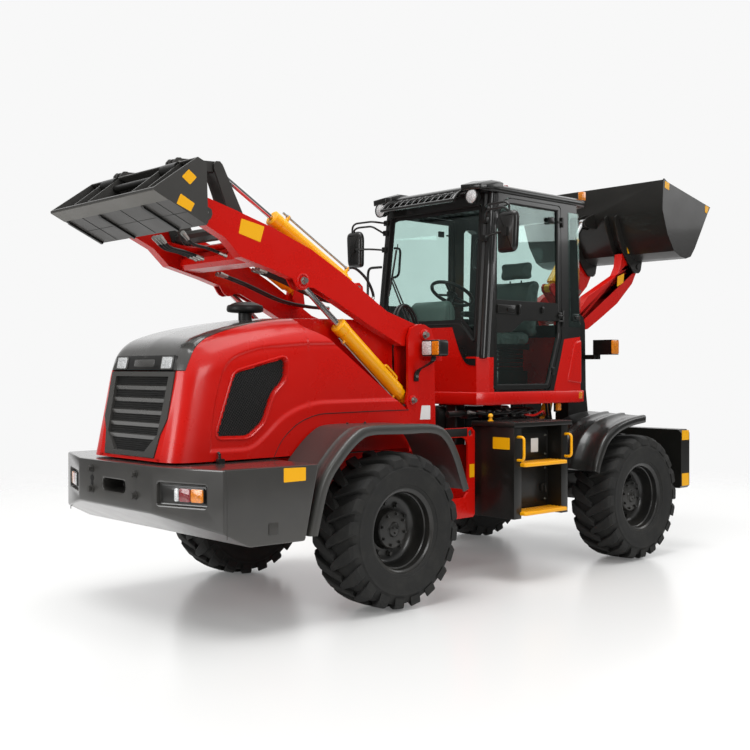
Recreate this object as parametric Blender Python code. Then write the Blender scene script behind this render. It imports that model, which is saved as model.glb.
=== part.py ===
"""Two-ended electric loader: a hinged frame on four wheels, a cab in the middle,
a loader boom with a narrow bucket over the hood and one with a wide bucket behind the cab.

Metres, +X towards the hood, +Y to the machine's left, +Z up, wheels on z = 0.
Sizes along X are measured from the middle of the wheelbase; the whole machine is then
moved so that the middle of its length lies on the origin.
"""
import math

import bmesh
import bpy
from mathutils import Matrix, Vector

# ---------------------------------------------------------------- driving dimensions
GAP = 0.0003              # between pieces that touch
SKIN = 0.012              # sheet metal and moulded covers, with their folded stiffeners
SMALL_RADIUS = 0.045      # corners up to this are drawn as one flat

WHEELBASE = 2.75
TYRE_RADIUS = 0.525
TYRE_WIDTH = 0.38
WHEEL_SEGMENTS = 18
TRACK_HALF = 0.833        # middle of each tyre from the machine's centre line
AXLE_X = WHEELBASE / 2
AXLE_Z = TYRE_RADIUS * math.cos(math.pi / WHEEL_SEGMENTS)   # a flat of the tyre is down

FRAME_HALF = 0.30         # half width of both chassis boxes
DECK_Z = 0.98             # top of the front chassis box
STEER_PIN_X = -0.60       # upright hinge between the front and rear chassis

CW_TOP = 1.00             # counterweight under the hood's nose
CW_BOTTOM = 0.54
CW_FRONT = 2.93
CW_HALF = 0.995

HOOD_BOTTOM = 1.012
HOOD_HALF = 0.53
HOOD_REAR = 0.85

CAB_FLOOR = 1.30
CAB_HALF = 0.62
CAB_WALL = 0.045
CAB_TOP = 2.93
CAB_FRONT = 0.175
CAB_TOP_FRONT = 0.050
CAB_WAIST = 1.66          # the front leans back above this height
CAB_REAR = -1.11
SILL_Z = 1.40

HEADLAMP_LOW = 1.665      # underside of the lamps on the loader towers

# Pins of the front loader, as (x, z)
TOWER_PIN = (0.68, 1.824)
LIFT_BASE = (0.80, 1.35)
LIFT_LUG = (1.79, 2.16)
BUCKET_PIN = (2.575, 2.53)
LEVER_PIN = (2.22, 2.47)
LEVER_TOP = (2.40, 2.85)
LINK_EAR = (2.685, 2.835)
TILT_BASE = (1.22, 2.15)
ARM_Y = 0.42              # middle of each front arm
ARM_THICK = 0.08
TILT_Y = 0.32             # middle of each front tilt cylinder

# Pins of the rear loader, as (x, z)
REAR_TOWER_PIN = (-1.40, 1.97)
REAR_LIFT_BASE = (-1.36, 1.12)
REAR_LIFT_LUG = (-1.585, 1.90)
REAR_BUCKET_PIN = (-2.345, 2.53)
REAR_TILT_BASE = (-1.42, 2.30)
REAR_TILT_EAR = (-1.93, 2.93)
REAR_ARM_Y = 0.255
REAR_ARM_THICK = 0.08

FRONT_BUCKET_HALF = 0.64
FRONT_LIP_X = 3.03
REAR_BUCKET_HALF = 0.78
REAR_LIP_X = -2.84
BUCKET_PLATE = 0.015

MACHINE_MIDDLE_X = (FRONT_LIP_X + REAR_LIP_X) / 2

# ---------------------------------------------------------------- colours: RGB, roughness, metallic
RED = ("red_paint", (0.651, 0.023, 0.012), 0.35, 0.0)
GREY = ("grey_paint", (0.068, 0.068, 0.063), 0.45, 0.0)
BLACK = ("black_plastic", (0.013, 0.013, 0.012), 0.55, 0.0)
YELLOW = ("yellow_paint", (1.0, 0.552, 0.0), 0.4, 0.0)
STEEL = ("chromed_steel", (0.75, 0.75, 0.75), 0.15, 1.0)
RUBBER = ("rubber", (0.027, 0.027, 0.026), 0.8, 0.0)
GLASS = ("green_glass", (0.62, 0.78, 0.75), 0.05, 0.0)
FABRIC = ("seat_cover", (0.05, 0.05, 0.05), 0.8, 0.0)


# ---------------------------------------------------------------- outlines
def arc(centre, radius, start, end, steps):
    """Points on a circle, from one angle to the other, in degrees."""
    points = []
    for i in range(steps + 1):
        angle = math.radians(start + (end - start) * i / steps)
        points.append((centre[0] + radius * math.cos(angle), centre[1] + radius * math.sin(angle)))
    return points


def rounded(corners, steps=2):
    """A closed outline from (a, b, radius) corners; a small radius becomes one flat."""
    points = []
    for i, (a, b, radius) in enumerate(corners):
        here = Vector((a, b))
        if radius == 0:
            points.append((a, b))
            continue
        to_last = (Vector(corners[i - 1][:2]) - here).normalized()
        to_next = (Vector(corners[(i + 1) % len(corners)][:2]) - here).normalized()
        half_angle = to_last.angle(to_next) / 2
        reach = radius / math.tan(half_angle)
        start, end = here + to_last * reach, here + to_next * reach
        centre = here + (to_last + to_next).normalized() * (radius / math.sin(half_angle))
        first, last = start - centre, end - centre
        turn = first.angle_signed(last)
        flats = steps if radius > SMALL_RADIUS else 1
        for k in range(flats + 1):
            swung = Matrix.Rotation(-turn * k / flats, 2) @ first
            points.append(tuple(centre + swung))
    return points


def inset(points, distance):
    """The polyline moved sideways, to its left; its ends stay square."""
    moved = []
    count = len(points)
    for i in range(count):
        here = Vector(points[i])
        before = (here - Vector(points[i - 1])).normalized() if i > 0 else None
        after = (Vector(points[i + 1]) - here).normalized() if i < count - 1 else None
        before = before or after
        after = after or before
        left_before = Vector((-before.y, before.x))
        left_after = Vector((-after.y, after.x))
        bisector = (left_before + left_after).normalized()
        moved.append(tuple(here + bisector * (distance / bisector.dot(left_after))))
    return moved


# ---------------------------------------------------------------- solids
def mesh_object(name, bm):
    bmesh.ops.recalc_face_normals(bm, faces=bm.faces)
    mesh = bpy.data.meshes.new(name)
    bm.to_mesh(mesh)
    bm.free()
    obj = bpy.data.objects.new(name, mesh)
    bpy.context.scene.collection.objects.link(obj)
    return obj


def loft(rings, name="solid"):
    """A closed solid through rings of the same number of points, capped at both ends."""
    bm = bmesh.new()
    loops = [[bm.verts.new(p) for p in ring] for ring in rings]
    count = len(loops[0])
    for a, b in zip(loops, loops[1:]):
        for i in range(count):
            bm.faces.new((a[i], a[(i + 1) % count], b[(i + 1) % count], b[i]))
    bm.faces.new(loops[0])
    bm.faces.new(list(reversed(loops[-1])))
    return mesh_object(name, bm)


def prism(outline, low, high, along="y", name="solid"):
    """An outline in the plane across an axis, extruded along that axis.

    The outline is (x, z) along y, (x, y) along z and (y, z) along x.
    """
    place = {"y": lambda p, d: (p[0], d, p[1]),
             "z": lambda p, d: (p[0], p[1], d),
             "x": lambda p, d: (d, p[0], p[1])}[along]
    return loft([[place(p, d) for p in outline] for d in (low, high)], name)


def block(x, y, z, name="solid"):
    """A box from three (low, high) pairs."""
    outline = [(x[0], z[0]), (x[1], z[0]), (x[1], z[1]), (x[0], z[1])]
    return prism(outline, y[0], y[1], "y", name)


def tube(start, end, radius, sides=10, name="solid", end_radius=None):
    """A round bar between two points, tapering if it has an end radius."""
    start, end = Vector(start), Vector(end)
    end_radius = radius if end_radius is None else end_radius
    turn = (end - start).to_track_quat("Z", "Y").to_matrix()
    rings = []
    for centre, size in ((start, radius), (end, end_radius)):
        ring = []
        for k in range(sides):
            angle = 2 * math.pi * (k + 0.5) / sides
            ring.append(centre + turn @ Vector((math.cos(angle) * size, math.sin(angle) * size, 0)))
        rings.append(ring)
    return loft(rings, name)


def pipe(route, radius, sides=8, name="solid"):
    """A round bar bent along a route, mitred at each corner."""
    route = [Vector(p) for p in route]
    rings = []
    for i, here in enumerate(route):
        before = (here - route[i - 1]).normalized() if i > 0 else (route[1] - here).normalized()
        after = (route[i + 1] - here).normalized() if i < len(route) - 1 else before
        along = (before + after).normalized()
        side = along.orthogonal().normalized() if i == 0 else (side - along * side.dot(along)).normalized()
        up = along.cross(side)
        ring = []
        for k in range(sides):
            angle = 2 * math.pi * k / sides
            ring.append(here + (side * math.cos(angle) + up * math.sin(angle)) * radius)
        rings.append(ring)
    return loft(rings, name)


def lathe(profile, segments, name="solid", half_step=True):
    """A closed profile of (y, radius) points turned about the Y axis."""
    bm = bmesh.new()
    loops = []
    for y, radius in profile:
        if radius == 0:
            loops.append([bm.verts.new((0, y, 0))])
            continue
        ring = []
        for k in range(segments):
            angle = 2 * math.pi * (k + (0.5 if half_step else 0)) / segments - math.pi / 2
            ring.append(bm.verts.new((radius * math.cos(angle), y, radius * math.sin(angle))))
        loops.append(ring)
    for a, b in zip(loops, loops[1:] + loops[:1]):
        if len(a) == 1 and len(b) == 1:
            continue
        for k in range(segments):
            n = (k + 1) % segments
            corners = [a[k % len(a)], a[n % len(a)], b[n % len(b)], b[k % len(b)]]
            corners = list(dict.fromkeys(corners))
            bm.faces.new(corners)
    return mesh_object(name, bm)


def boolean(obj, tool, operation, keep=False):
    modifier = obj.modifiers.new(operation.lower(), "BOOLEAN")
    modifier.operation = operation
    modifier.object = tool
    graph = bpy.context.evaluated_depsgraph_get()
    result = bpy.data.meshes.new_from_object(obj.evaluated_get(graph))
    obj.modifiers.clear()
    obj.data = result
    if not keep:
        bpy.data.objects.remove(tool)
    return obj


def fuse(first, *others):
    for other in others:
        boolean(first, other, "UNION")
    return first


def cut(obj, *tools):
    for tool in tools:
        boolean(obj, tool, "DIFFERENCE")
    return obj


def common(obj, tool):
    return boolean(obj, tool, "INTERSECT")


def copy_of(obj, name="solid"):
    twin = bpy.data.objects.new(name, obj.data.copy())
    bpy.context.scene.collection.objects.link(twin)
    return twin


def mirrored(obj, name):
    """The same piece on the machine's other side."""
    twin = copy_of(obj, name)
    twin.data.transform(Matrix.Scale(-1, 4, (0, 1, 0)))
    twin.data.flip_normals()
    return twin


def at(obj, offset):
    obj.data.transform(Matrix.Translation(offset))
    return obj


# ---------------------------------------------------------------- finishing and placing
def material(look):
    name, colour, roughness, metallic = look
    made = bpy.data.materials.get(name)
    if made is None:
        made = bpy.data.materials.new(name)
        made.use_nodes = True
        shader = made.node_tree.nodes["Principled BSDF"]
        shader.inputs["Base Color"].default_value = (*colour, 1)
        shader.inputs["Roughness"].default_value = roughness
        shader.inputs["Metallic"].default_value = metallic
    return made


def pivot(name, place, parent):
    """An empty on a joint's axis; place is in the machine's coordinates."""
    empty = bpy.data.objects.new(name, None)
    bpy.context.scene.collection.objects.link(empty)
    empty["place"] = place
    empty.parent = parent
    origin = Vector(parent["place"]) if parent else Vector((0, 0, 0))
    empty.location = Vector(place) - origin
    return empty


def merge_flats(mesh):
    """Joins faces that lie in one plane, so that a flat side is one face again."""
    bm = bmesh.new()
    bm.from_mesh(mesh)
    bmesh.ops.dissolve_limit(bm, angle_limit=math.radians(0.05), verts=bm.verts, edges=bm.edges)
    bm.to_mesh(mesh)
    bm.free()


def finish(obj, name, look, body):
    """Names, colours and smooths a piece and hangs it on its body's empty."""
    obj.name = obj.data.name = name
    merge_flats(obj.data)
    obj.data.materials.clear()
    obj.data.materials.append(material(look))
    obj.data.shade_smooth()
    obj.data.set_sharp_from_angle(angle=math.radians(30))
    obj.data.transform(Matrix.Translation(-Vector(body["place"])))
    obj.parent = body
    return obj


def finish_pair(obj, name, look, body_left, body_right=None):
    """A left piece and its mirror image."""
    right = mirrored(obj, name + "_right")
    finish(obj, name + "_left", look, body_left)
    finish(right, name + "_right", look, body_right or body_left)


# ---------------------------------------------------------------- wheels and axles
def tyre(_side):
    half = TYRE_WIDTH / 2
    profile = [(0.150, 0.262), (0.150, 0.286), (half, 0.335), (half - 0.004, 0.468), (half - 0.030, 0.510),
               (0, TYRE_RADIUS)]
    mirrored_half = [(-y, r) for y, r in reversed(profile[:-1])]
    return lathe(profile + mirrored_half, WHEEL_SEGMENTS)


def rim(side):
    """A deep-dished disc wheel: flanges outside the beads, the dish towards its side."""
    bead = 0.150 + GAP
    flange = bead + 0.008
    profile = [(flange, 0.285), (0.146, 0.250), (0.030, 0.240), (0.010, 0.135),
               (0.055, 0.118), (0.055, 0), (0.000, 0), (0.000, 0.225), (-0.146, 0.250),
               (-flange, 0.285),
               (-bead, 0.285), (-bead, 0.262 - GAP), (bead, 0.262 - GAP), (bead, 0.285)]
    return lathe([(side * y, radius) for y, radius in profile], WHEEL_SEGMENTS)


def wheels(bodies):
    for end, x in (("front", AXLE_X), ("rear", -AXLE_X)):
        for side, sign in (("left", 1), ("right", -1)):
            name = end + "_" + side
            place = Vector((x, sign * TRACK_HALF, AXLE_Z))
            for piece, build, look in (("tyre", tyre, RUBBER), ("rim", rim, GREY)):
                obj = at(build(sign), place)
                finish(obj, name + "_" + piece, look, bodies[name + "_wheel"])


def axle(x, name, body, seat_z):
    """Housing with its drive head, round hubs at its ends and pads up to the chassis."""
    hub_end = TRACK_HALF - 0.002
    obj = tube((x, -hub_end, AXLE_Z), (x, hub_end, AXLE_Z), 0.070, 8)
    for sign in (1, -1):
        hub = tube((x, sign * 0.56, AXLE_Z), (x, sign * (hub_end - 0.001), AXLE_Z), 0.125, 8)
        pad = block((x - 0.10, x + 0.10), (sign * 0.20, sign * 0.29), (AXLE_Z, seat_z - GAP))
        fuse(obj, hub, pad)
    head = tube((x - 0.20, 0, AXLE_Z), (x + 0.20, 0, AXLE_Z), 0.130, 8)
    finish(fuse(obj, head), name, GREY, body)


# ---------------------------------------------------------------- front chassis
def counterweight_back(z):
    """Where the counterweight's sloping back is, at a height."""
    return 2.09 + (CW_TOP - z) * 0.217


def main_frame(body):
    front_top = counterweight_back(DECK_Z) - 0.0006
    front_low = counterweight_back(0.66) - 0.0006
    outline = rounded([(front_top, DECK_Z, 0), (-0.42, DECK_Z, 0.05), (-0.42, 0.42, 0.06),
                       (0.62, 0.42, 0.05), (0.86, 0.66, 0.05), (front_low, 0.66, 0)])
    obj = prism(outline, -FRAME_HALF, FRAME_HALF)
    well = [(2.05, 1.1), (0.90, 1.1), (0.90, 0.69), (2.05, 0.69)]
    cut(obj, prism(well, -FRAME_HALF + 0.02, FRAME_HALF - 0.02))
    belly = [(0.84, DECK_Z - 0.02), (-0.40, DECK_Z - 0.02), (-0.40, 0.44), (0.60, 0.44), (0.84, 0.68)]
    cut(obj, prism(belly, -FRAME_HALF + 0.02, FRAME_HALF - 0.02))
    mouth = block((-0.30, 0.50), (-0.20, 0.20), (0.30, 0.50))
    cut(obj, mouth)
    for sign in (1, -1):
        plate = rounded([(0.262, 0.47, 0.02), (0.62, 0.47, 0.05), (0.70, 0.56, 0.05), (0.70, 1.14, 0.04),
                         (0.262, 1.14, 0.03)])
        side = prism(plate, sign * 0.600, sign * 0.618)
        window = rounded([(0.34, 0.62, 0.04), (0.60, 0.62, 0.04), (0.60, 1.07, 0.06), (0.34, 1.07, 0.06)])
        cut(side, prism(window, sign * 0.59, sign * 0.63))
        cut(side, tube((0.31, sign * 0.59, 1.098), (0.31, sign * 0.63, 1.098), 0.026))
        reach = (sign * (FRAME_HALF - 0.01), sign * 0.61)
        rear_beam = block((0.27, 0.335), reach, (0.60, 0.72))
        front_beam = block((0.61, 0.69), reach, (0.80, 0.92))
        fuse(side, rear_beam, front_beam)
        fuse(obj, side)
        for x in (0.08, -0.36):
            post_z = (DECK_Z - 0.01, CAB_FLOOR - GAP)
            fuse(obj, block((x - 0.05, x + 0.05), (sign * 0.20, sign * 0.30), post_z))
    for low, high in ((0.46, 0.50), (0.87, 0.91)):
        tongue = [(-0.40, -0.17)] + arc((STEER_PIN_X, 0), 0.10, 270, 90, 6) + [(-0.40, 0.17)]
        fuse(obj, prism(tongue, low, high, "z"))
    fuse(obj, tube((STEER_PIN_X, 0, 0.44), (STEER_PIN_X, 0, 0.93), 0.035, 10))
    finish(obj, "main_frame", RED, body)


def counterweight(body):
    side = [(counterweight_back(CW_TOP), CW_TOP), (counterweight_back(CW_BOTTOM), CW_BOTTOM)]
    side = side + [(2.58, CW_BOTTOM), (CW_FRONT, 0.72), (CW_FRONT, CW_TOP)]
    obj = prism(side, -CW_HALF, CW_HALF)
    corner = (2.756, 0.941)
    front_half = 0.44
    plan = [(2.0, -CW_HALF), (corner[0], -corner[1]), (CW_FRONT, -front_half),
            (CW_FRONT, front_half), corner, (2.0, CW_HALF)]
    common(obj, prism(plan, 0.4, 1.2, "z"))
    slot = rounded([(-0.14, 0.815, 0.02), (0.14, 0.815, 0.02), (0.14, 0.892, 0.02), (-0.14, 0.892, 0.02)])
    cut(obj, prism(slot, CW_FRONT - 0.15, CW_FRONT + 0.05, "x"))
    slant = math.atan2(corner[0] - CW_FRONT, corner[1] - front_half)
    for sign in (1, -1):
        pocket = block((-0.03, 0.10), (-0.18, 0.18), (0.775, 0.905))
        pocket.data.transform(Matrix.Rotation(-slant * sign, 4, "Z"))
        cut(obj, at(pocket, (2.856, sign * 0.654, 0)))
    finish(obj, "counterweight", GREY, body)


def battery_pack(body):
    obj = block((1.00, 1.95), (-0.31, 0.31), (DECK_Z + GAP, 1.58))
    finish(obj, "battery_pack", GREY, body)


def side_box(body):
    """Left-hand box beside the chassis, with two step wells and a top tread plate."""
    outline = [(0.15, 0.50), (0.23, 0.58), (0.23, 0.97), (-0.41, 0.97), (-0.41, 0.50)]
    obj = prism(outline, 0.478, 1.15, "z")
    top = [(0.165, 0.49), (0.25, 0.575), (0.25, 0.99), (-0.44, 0.99), (-0.44, 0.49)]
    fuse(obj, prism(top, 1.15 - 0.001, 1.185, "z"))
    cut(obj, block((-0.33, 0.145), (0.83, 1.10), (0.53, 1.10)))
    for z in (0.505, 0.862):
        tread = prism([(-0.345, 0.82), (0.16, 0.82), (0.16, 1.02), (-0.345, 1.02)], z, z + 0.022, "z")
        fuse(obj, tread)
    for x in (-0.375, 0.19):
        bar = pipe([(x, 0.96, 1.08), (x, 1.015, 1.08), (x, 1.03, 1.06), (x, 1.03, 0.93), (x, 1.015, 0.91),
                    (x, 0.96, 0.91)], 0.011, 6)
        fuse(obj, bar)
    arm = block((-0.20, 0.00), (FRAME_HALF + GAP, 0.51), (0.56, 0.70))
    fuse(obj, arm)
    finish_pair(obj, "side_box", GREY, body)


def fender(contour, thickness, inner_y, outer_y, inner_rise, wheel_x, lip):
    """An arched guard: a band along the contour, thicker at its outer edge."""
    def band(points, depth, rise, y):
        outer = [(x, z + rise) for x, z in points]
        inner = []
        for x, z in outer:
            toward = Vector((wheel_x - x, AXLE_Z - z)).normalized()
            inner.append((x + toward.x * depth, z + toward.y * depth))
        return [(x, y, z) for x, z in outer + inner[::-1]]
    obj = loft([band(contour, thickness, inner_rise, inner_y), band(contour, thickness, 0, outer_y)])
    rim_edge = loft([band(contour, lip, 0.004, outer_y - 0.035), band(contour, lip, 0, outer_y + 0.0005)])
    return fuse(obj, rim_edge)


def front_fender(body):
    contour = [(2.150, 0.563), (2.056, 0.876), (1.925, 1.045), (1.779, 1.165), (1.656, 1.205),
               (1.063, 1.195), (0.933, 1.130), (0.832, 0.985), (0.730, 0.746)]
    obj = fender(contour, 0.022, HOOD_HALF + 0.012, 0.985, 0.0, AXLE_X, 0.055)
    finish_pair(obj, "front_fender", GREY, body)


def rear_fender(body):
    contour = [(-0.760, 0.767), (-0.788, 0.851), (-0.890, 1.009), (-1.010, 1.090), (-1.125, 1.135),
               (-1.290, 1.168), (-1.460, 1.185)]
    obj = fender(contour, 0.022, 0.40, 0.985, 0.025, -AXLE_X, 0.055)
    finish_pair(obj, "rear_fender", GREY, body)


# ---------------------------------------------------------------- hood
# Rings from the nose back: x at the bottom and at the top edge, half width at the bottom and at
# the shoulder, height of the shoulder, half width and height of the top edge.
HOOD_RINGS = [
    (2.825, 2.702, 0.360, 0.400, 1.545, 0.370, 1.640),
    (2.812, 2.662, 0.435, 0.448, 1.570, 0.402, 1.705),
    (2.765, 2.600, 0.497, 0.493, 1.595, 0.408, 1.757),
    (2.620, 2.470, 0.530, 0.522, 1.640, 0.400, 1.805),
    (2.280, 2.240, 0.530, 0.525, 1.705, 0.392, 1.857),
    (1.800, 1.800, 0.530, 0.525, 1.770, 0.390, 1.912),
    (HOOD_REAR, HOOD_REAR, 0.530, 0.525, 1.790, 0.390, 1.930),
]
HOOD_CROWN = 0.012
CAP_EDGE_Z = 1.566        # lower edge of the cap, over the grille


def hood_body(thick):
    """The hood's outer form, or with a thickness the hollow inside it, open below and behind."""
    rings = []
    for low_x, top_x, bottom_w, shoulder_w, shoulder_z, top_w, top_z in HOOD_RINGS:
        low_x, top_x = low_x - thick * 1.2, top_x - thick * 1.2
        if thick and low_x < HOOD_REAR:
            low_x, top_x = low_x - 0.2, top_x - 0.2
        bottom = HOOD_BOTTOM - (0.2 if thick else 0)
        rise = (shoulder_z - HOOD_BOTTOM) / (top_z - HOOD_BOTTOM)
        shoulder_x = low_x + (top_x - low_x) * rise
        half = [(low_x, bottom_w - thick, bottom), (shoulder_x, shoulder_w - thick, shoulder_z - thick * 0.4),
                (top_x, top_w - thick * 0.4, top_z - thick), (top_x, 0, top_z + HOOD_CROWN - thick)]
        ring = half + [(x, -y, z) for x, y, z in reversed(half[:-1])]
        rings.append(ring)
    return loft(rings)


def lift_pocket(grow, sign):
    """Space beside the hood's rear half for a lift cylinder and its arm."""
    outline = inset([(0.70, 1.16), (0.84, 1.255), (1.62, 1.79), (1.78, 1.86), (1.84, 2.20)], -grow)
    outline = outline + [(0.60, 2.20), (0.60, 1.16)]
    return prism(outline, sign * (0.335 - grow), sign * 0.70)


def hood_shell():
    outer, inner = hood_body(0), hood_body(SKIN)
    for sign in (1, -1):
        cut(outer, lift_pocket(0, sign))
        cut(inner, lift_pocket(SKIN, sign))
    return cut(outer, inner)


def cap_region(grow):
    """Plan of the grey cap on the nose and the hood's top, as a tall block."""
    half = [(3.0, 0.450), (2.66, 0.445), (2.52, 0.405), (2.28, 0.375), (1.70, 0.300)]
    half = [(x - (grow if x < 2 else 0), y + grow) for x, y in half]
    plan = half + [(x, -y) for x, y in reversed(half)]
    return prism(plan, CAP_EDGE_Z - grow, 2.2, "z")


def vent_outline(shrink):
    corners = [(2.500, 1.150, 0.02), (2.245, 1.185, 0.05), (2.115, 1.385, 0.05), (1.985, 1.515, 0.04),
               (1.970, 1.645, 0.03), (2.385, 1.560, 0.05)]
    points = rounded(corners, 2)
    centre = Vector((2.25, 1.40))
    return [tuple(centre + (Vector(p) - centre) * (1 - shrink)) for p in points]


GRILLE_OUTLINE = [(-0.380, 1.560), (0.380, 1.560), (0.380, 1.270), (0.330, 1.175), (0.300, 1.030),
                  (-0.300, 1.030), (-0.330, 1.175), (-0.380, 1.270)]
GRILLE_MESH = [(-0.318, 1.530), (0.318, 1.530), (0.300, 1.175), (0.180, 1.065), (-0.180, 1.065),
               (-0.300, 1.175)]


def hood(body):
    shell = hood_shell()
    cap = common(copy_of(shell), cap_region(0))
    cut(shell, cap_region(0.003))
    opening = [(y, z + (0.004 if z > 1.5 else 0)) for y, z in GRILLE_OUTLINE]
    cut(shell, prism(opening, 2.6, 3.0, "x"))
    for sign in (1, -1):
        recess = prism(vent_outline(0), sign * (HOOD_HALF - 0.007), sign * 0.60)
        cut(shell, recess)
    finish(shell, "hood", RED, body)
    cut(cap, tube((1.925, 0, 1.7), (1.925, 0, 2.1), 0.048, 16))
    finish(cap, "hood_cap", GREY, body)


def grille_front(z):
    """Where the nose's sloping face is, at a height."""
    low, top = HOOD_RINGS[0][0], HOOD_RINGS[0][1]
    return low + (top - low) * (z - HOOD_BOTTOM) / (HOOD_RINGS[0][6] - HOOD_BOTTOM)


def sloping_plate(outline, deep, proud):
    """An outline as seen from the front, cut from a slab that lies along the nose."""
    slab = [(grille_front(z) + d, z) for z, d in ((1.0, -deep), (1.0, proud), (1.6, proud), (1.6, -deep))]
    return common(prism(slab, -0.45, 0.45), prism(outline, 2.5, 3.0, "x"))


def grille(body):
    """Moulded surround with a recessed mesh panel behind five slats."""
    outline = [(y - math.copysign(0.004, y), z + (0.004 if z < 1.1 else 0)) for y, z in GRILLE_OUTLINE]
    obj = sloping_plate(outline, 0.060, 0.008)
    cut(obj, at(sloping_plate(GRILLE_MESH, 0.030, 0.030), (0.008, 0, 0)))
    slat_low, slat_step = 1.165, 0.076
    for k in range(5):
        z = slat_low + slat_step * k
        front = grille_front(z)
        bar = prism([(front - 0.030, z - 0.014), (front - 0.004, z - 0.024), (front + 0.002, z),
                     (front - 0.030, z + 0.012)], -0.31, 0.31)
        fuse(obj, bar)
    finish(obj, "grille", BLACK, body)


def air_intake(body):
    profile = [(0.0, 0.0), (0.0, 0.0475), (0.100, 0.0475), (0.100, 0.118), (0.112, 0.125), (0.150, 0.120),
               (0.170, 0.075), (0.175, 0.0)]      # height and radius
    obj = lathe(profile, 16)
    obj.data.transform(Matrix.Rotation(math.radians(90), 4, "X"))
    finish(at(obj, (1.925, 0, 1.862)), "air_intake", BLACK, body)


# ---------------------------------------------------------------- loader towers
def pin_bar(point, y_low, y_high, radius, sides=8):
    """A pin along Y at an (x, z) point."""
    return tube((point[0], y_low, point[1]), (point[0], y_high, point[1]), radius, sides)


def loader_tower(body):
    """Two pairs of upright plates on one cross box, with the boom's and the cylinders' pins."""
    foot = DECK_Z + GAP
    column = rounded([(0.555, foot, 0), (0.835, foot, 0), (0.840, 1.275, 0), (0.865, 1.33, 0.02),
                      (0.845, 1.41, 0.03), (0.843, 1.46, 0.04), (0.843, 1.90, 0.10), (0.580, 1.90, 0.10)])
    base = block((0.556, 0.834), (-0.494, 0.494), (DECK_Z + GAP, 1.10))
    obj = base
    for sign in (1, -1):
        inner = prism(column, sign * 0.348, sign * 0.366)
        outer = prism(column, sign * 0.474, sign * 0.496)
        web = block((0.560, 0.580), (sign * 0.36, sign * 0.48), (1.05, 1.66))
        head = pin_bar(TOWER_PIN, sign * 0.36, sign * 0.506, 0.030)
        low = pin_bar(LIFT_BASE, sign * 0.36, sign * 0.506, 0.024)
        lamp_arm = block((0.60, 0.68), (sign * 0.49, sign * 0.60), (1.635, HEADLAMP_LOW - GAP))
        fuse(obj, inner, outer, web, head, low, lamp_arm)
    tie = tube((0.66, -0.36, 1.45), (0.66, 0.36, 1.45), 0.035, 10)
    finish(fuse(obj, tie), "loader_tower", RED, body)


def headlamp(body):
    low, high = HEADLAMP_LOW, HEADLAMP_LOW + 0.122
    outline = rounded([(0.525, low, 0.02), (0.525, high, 0.02), (0.715, high, 0.02), (0.715, low, 0.02)], 2)
    obj = prism(outline, 0.645, 0.745, "x")
    finish_pair(obj, "headlamp", BLACK, body)


# ---------------------------------------------------------------- cylinders
def along(start, end, distance):
    """The (x, z) point at a distance from start towards end."""
    a, b = Vector(start), Vector(end)
    return tuple(a + (b - a).normalized() * distance)


def barrel(base, eye, y, radius, length, eye_radius, eye_thick, pin_radius):
    """A cylinder body with its base eye."""
    a, b = along(base, eye, eye_radius * 0.5), along(base, eye, length)
    obj = tube((a[0], y, a[1]), (b[0], y, b[1]), radius, 10)
    trim = pin_bar(base, y - 0.2, y + 0.2, eye_radius + 0.032, 8)
    cut(obj, trim)
    neck_end = along(base, eye, eye_radius + 0.05)
    neck = tube((base[0], y, base[1]), (neck_end[0], y, neck_end[1]), eye_thick / 2, 6)
    ring = pin_bar(base, y - eye_thick / 2, y + eye_thick / 2, eye_radius, 8)
    fuse(obj, neck, ring)
    cut(obj, pin_bar(base, y - 0.2, y + 0.2, pin_radius))
    bore_start, bore_end = along(base, eye, 0.10), along(base, eye, length + 0.05)
    bore = tube((bore_start[0], y, bore_start[1]), (bore_end[0], y, bore_end[1]), radius * 0.62, 8)
    return cut(obj, bore)


def rod(base, eye, y, radius, inside, eye_radius, eye_thick):
    """A piston rod that starts inside the barrel and ends in its eye."""
    a, b = along(base, eye, inside), eye
    shaft = tube((a[0], y, a[1]), (b[0], y, b[1]), radius, 8)
    ring = pin_bar(eye, y - eye_thick / 2, y + eye_thick / 2, eye_radius, 8)
    return fuse(shaft, ring)


def front_cylinders(bodies):
    lift = barrel(LIFT_BASE, LIFT_LUG, ARM_Y, 0.045, 0.84, 0.042, 0.056, 0.027)
    finish_pair(lift, "lift_barrel", YELLOW, bodies["lift_barrels"])
    lift_rod = rod(LIFT_BASE, LIFT_LUG, ARM_Y, 0.022, 0.30, 0.034, 0.028)
    finish_pair(lift_rod, "lift_rod", STEEL, bodies["lift_rods"])
    tilt = barrel(TILT_BASE, LEVER_TOP, TILT_Y, 0.042, 0.84, 0.036, 0.030, 0.022)
    finish_pair(tilt, "tilt_barrel", YELLOW, bodies["tilt_barrels"])
    tilt_rod = rod(TILT_BASE, LEVER_TOP, TILT_Y, 0.018, 0.34, 0.030, 0.024)
    finish_pair(tilt_rod, "tilt_rod", STEEL, bodies["tilt_rods"])


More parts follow.
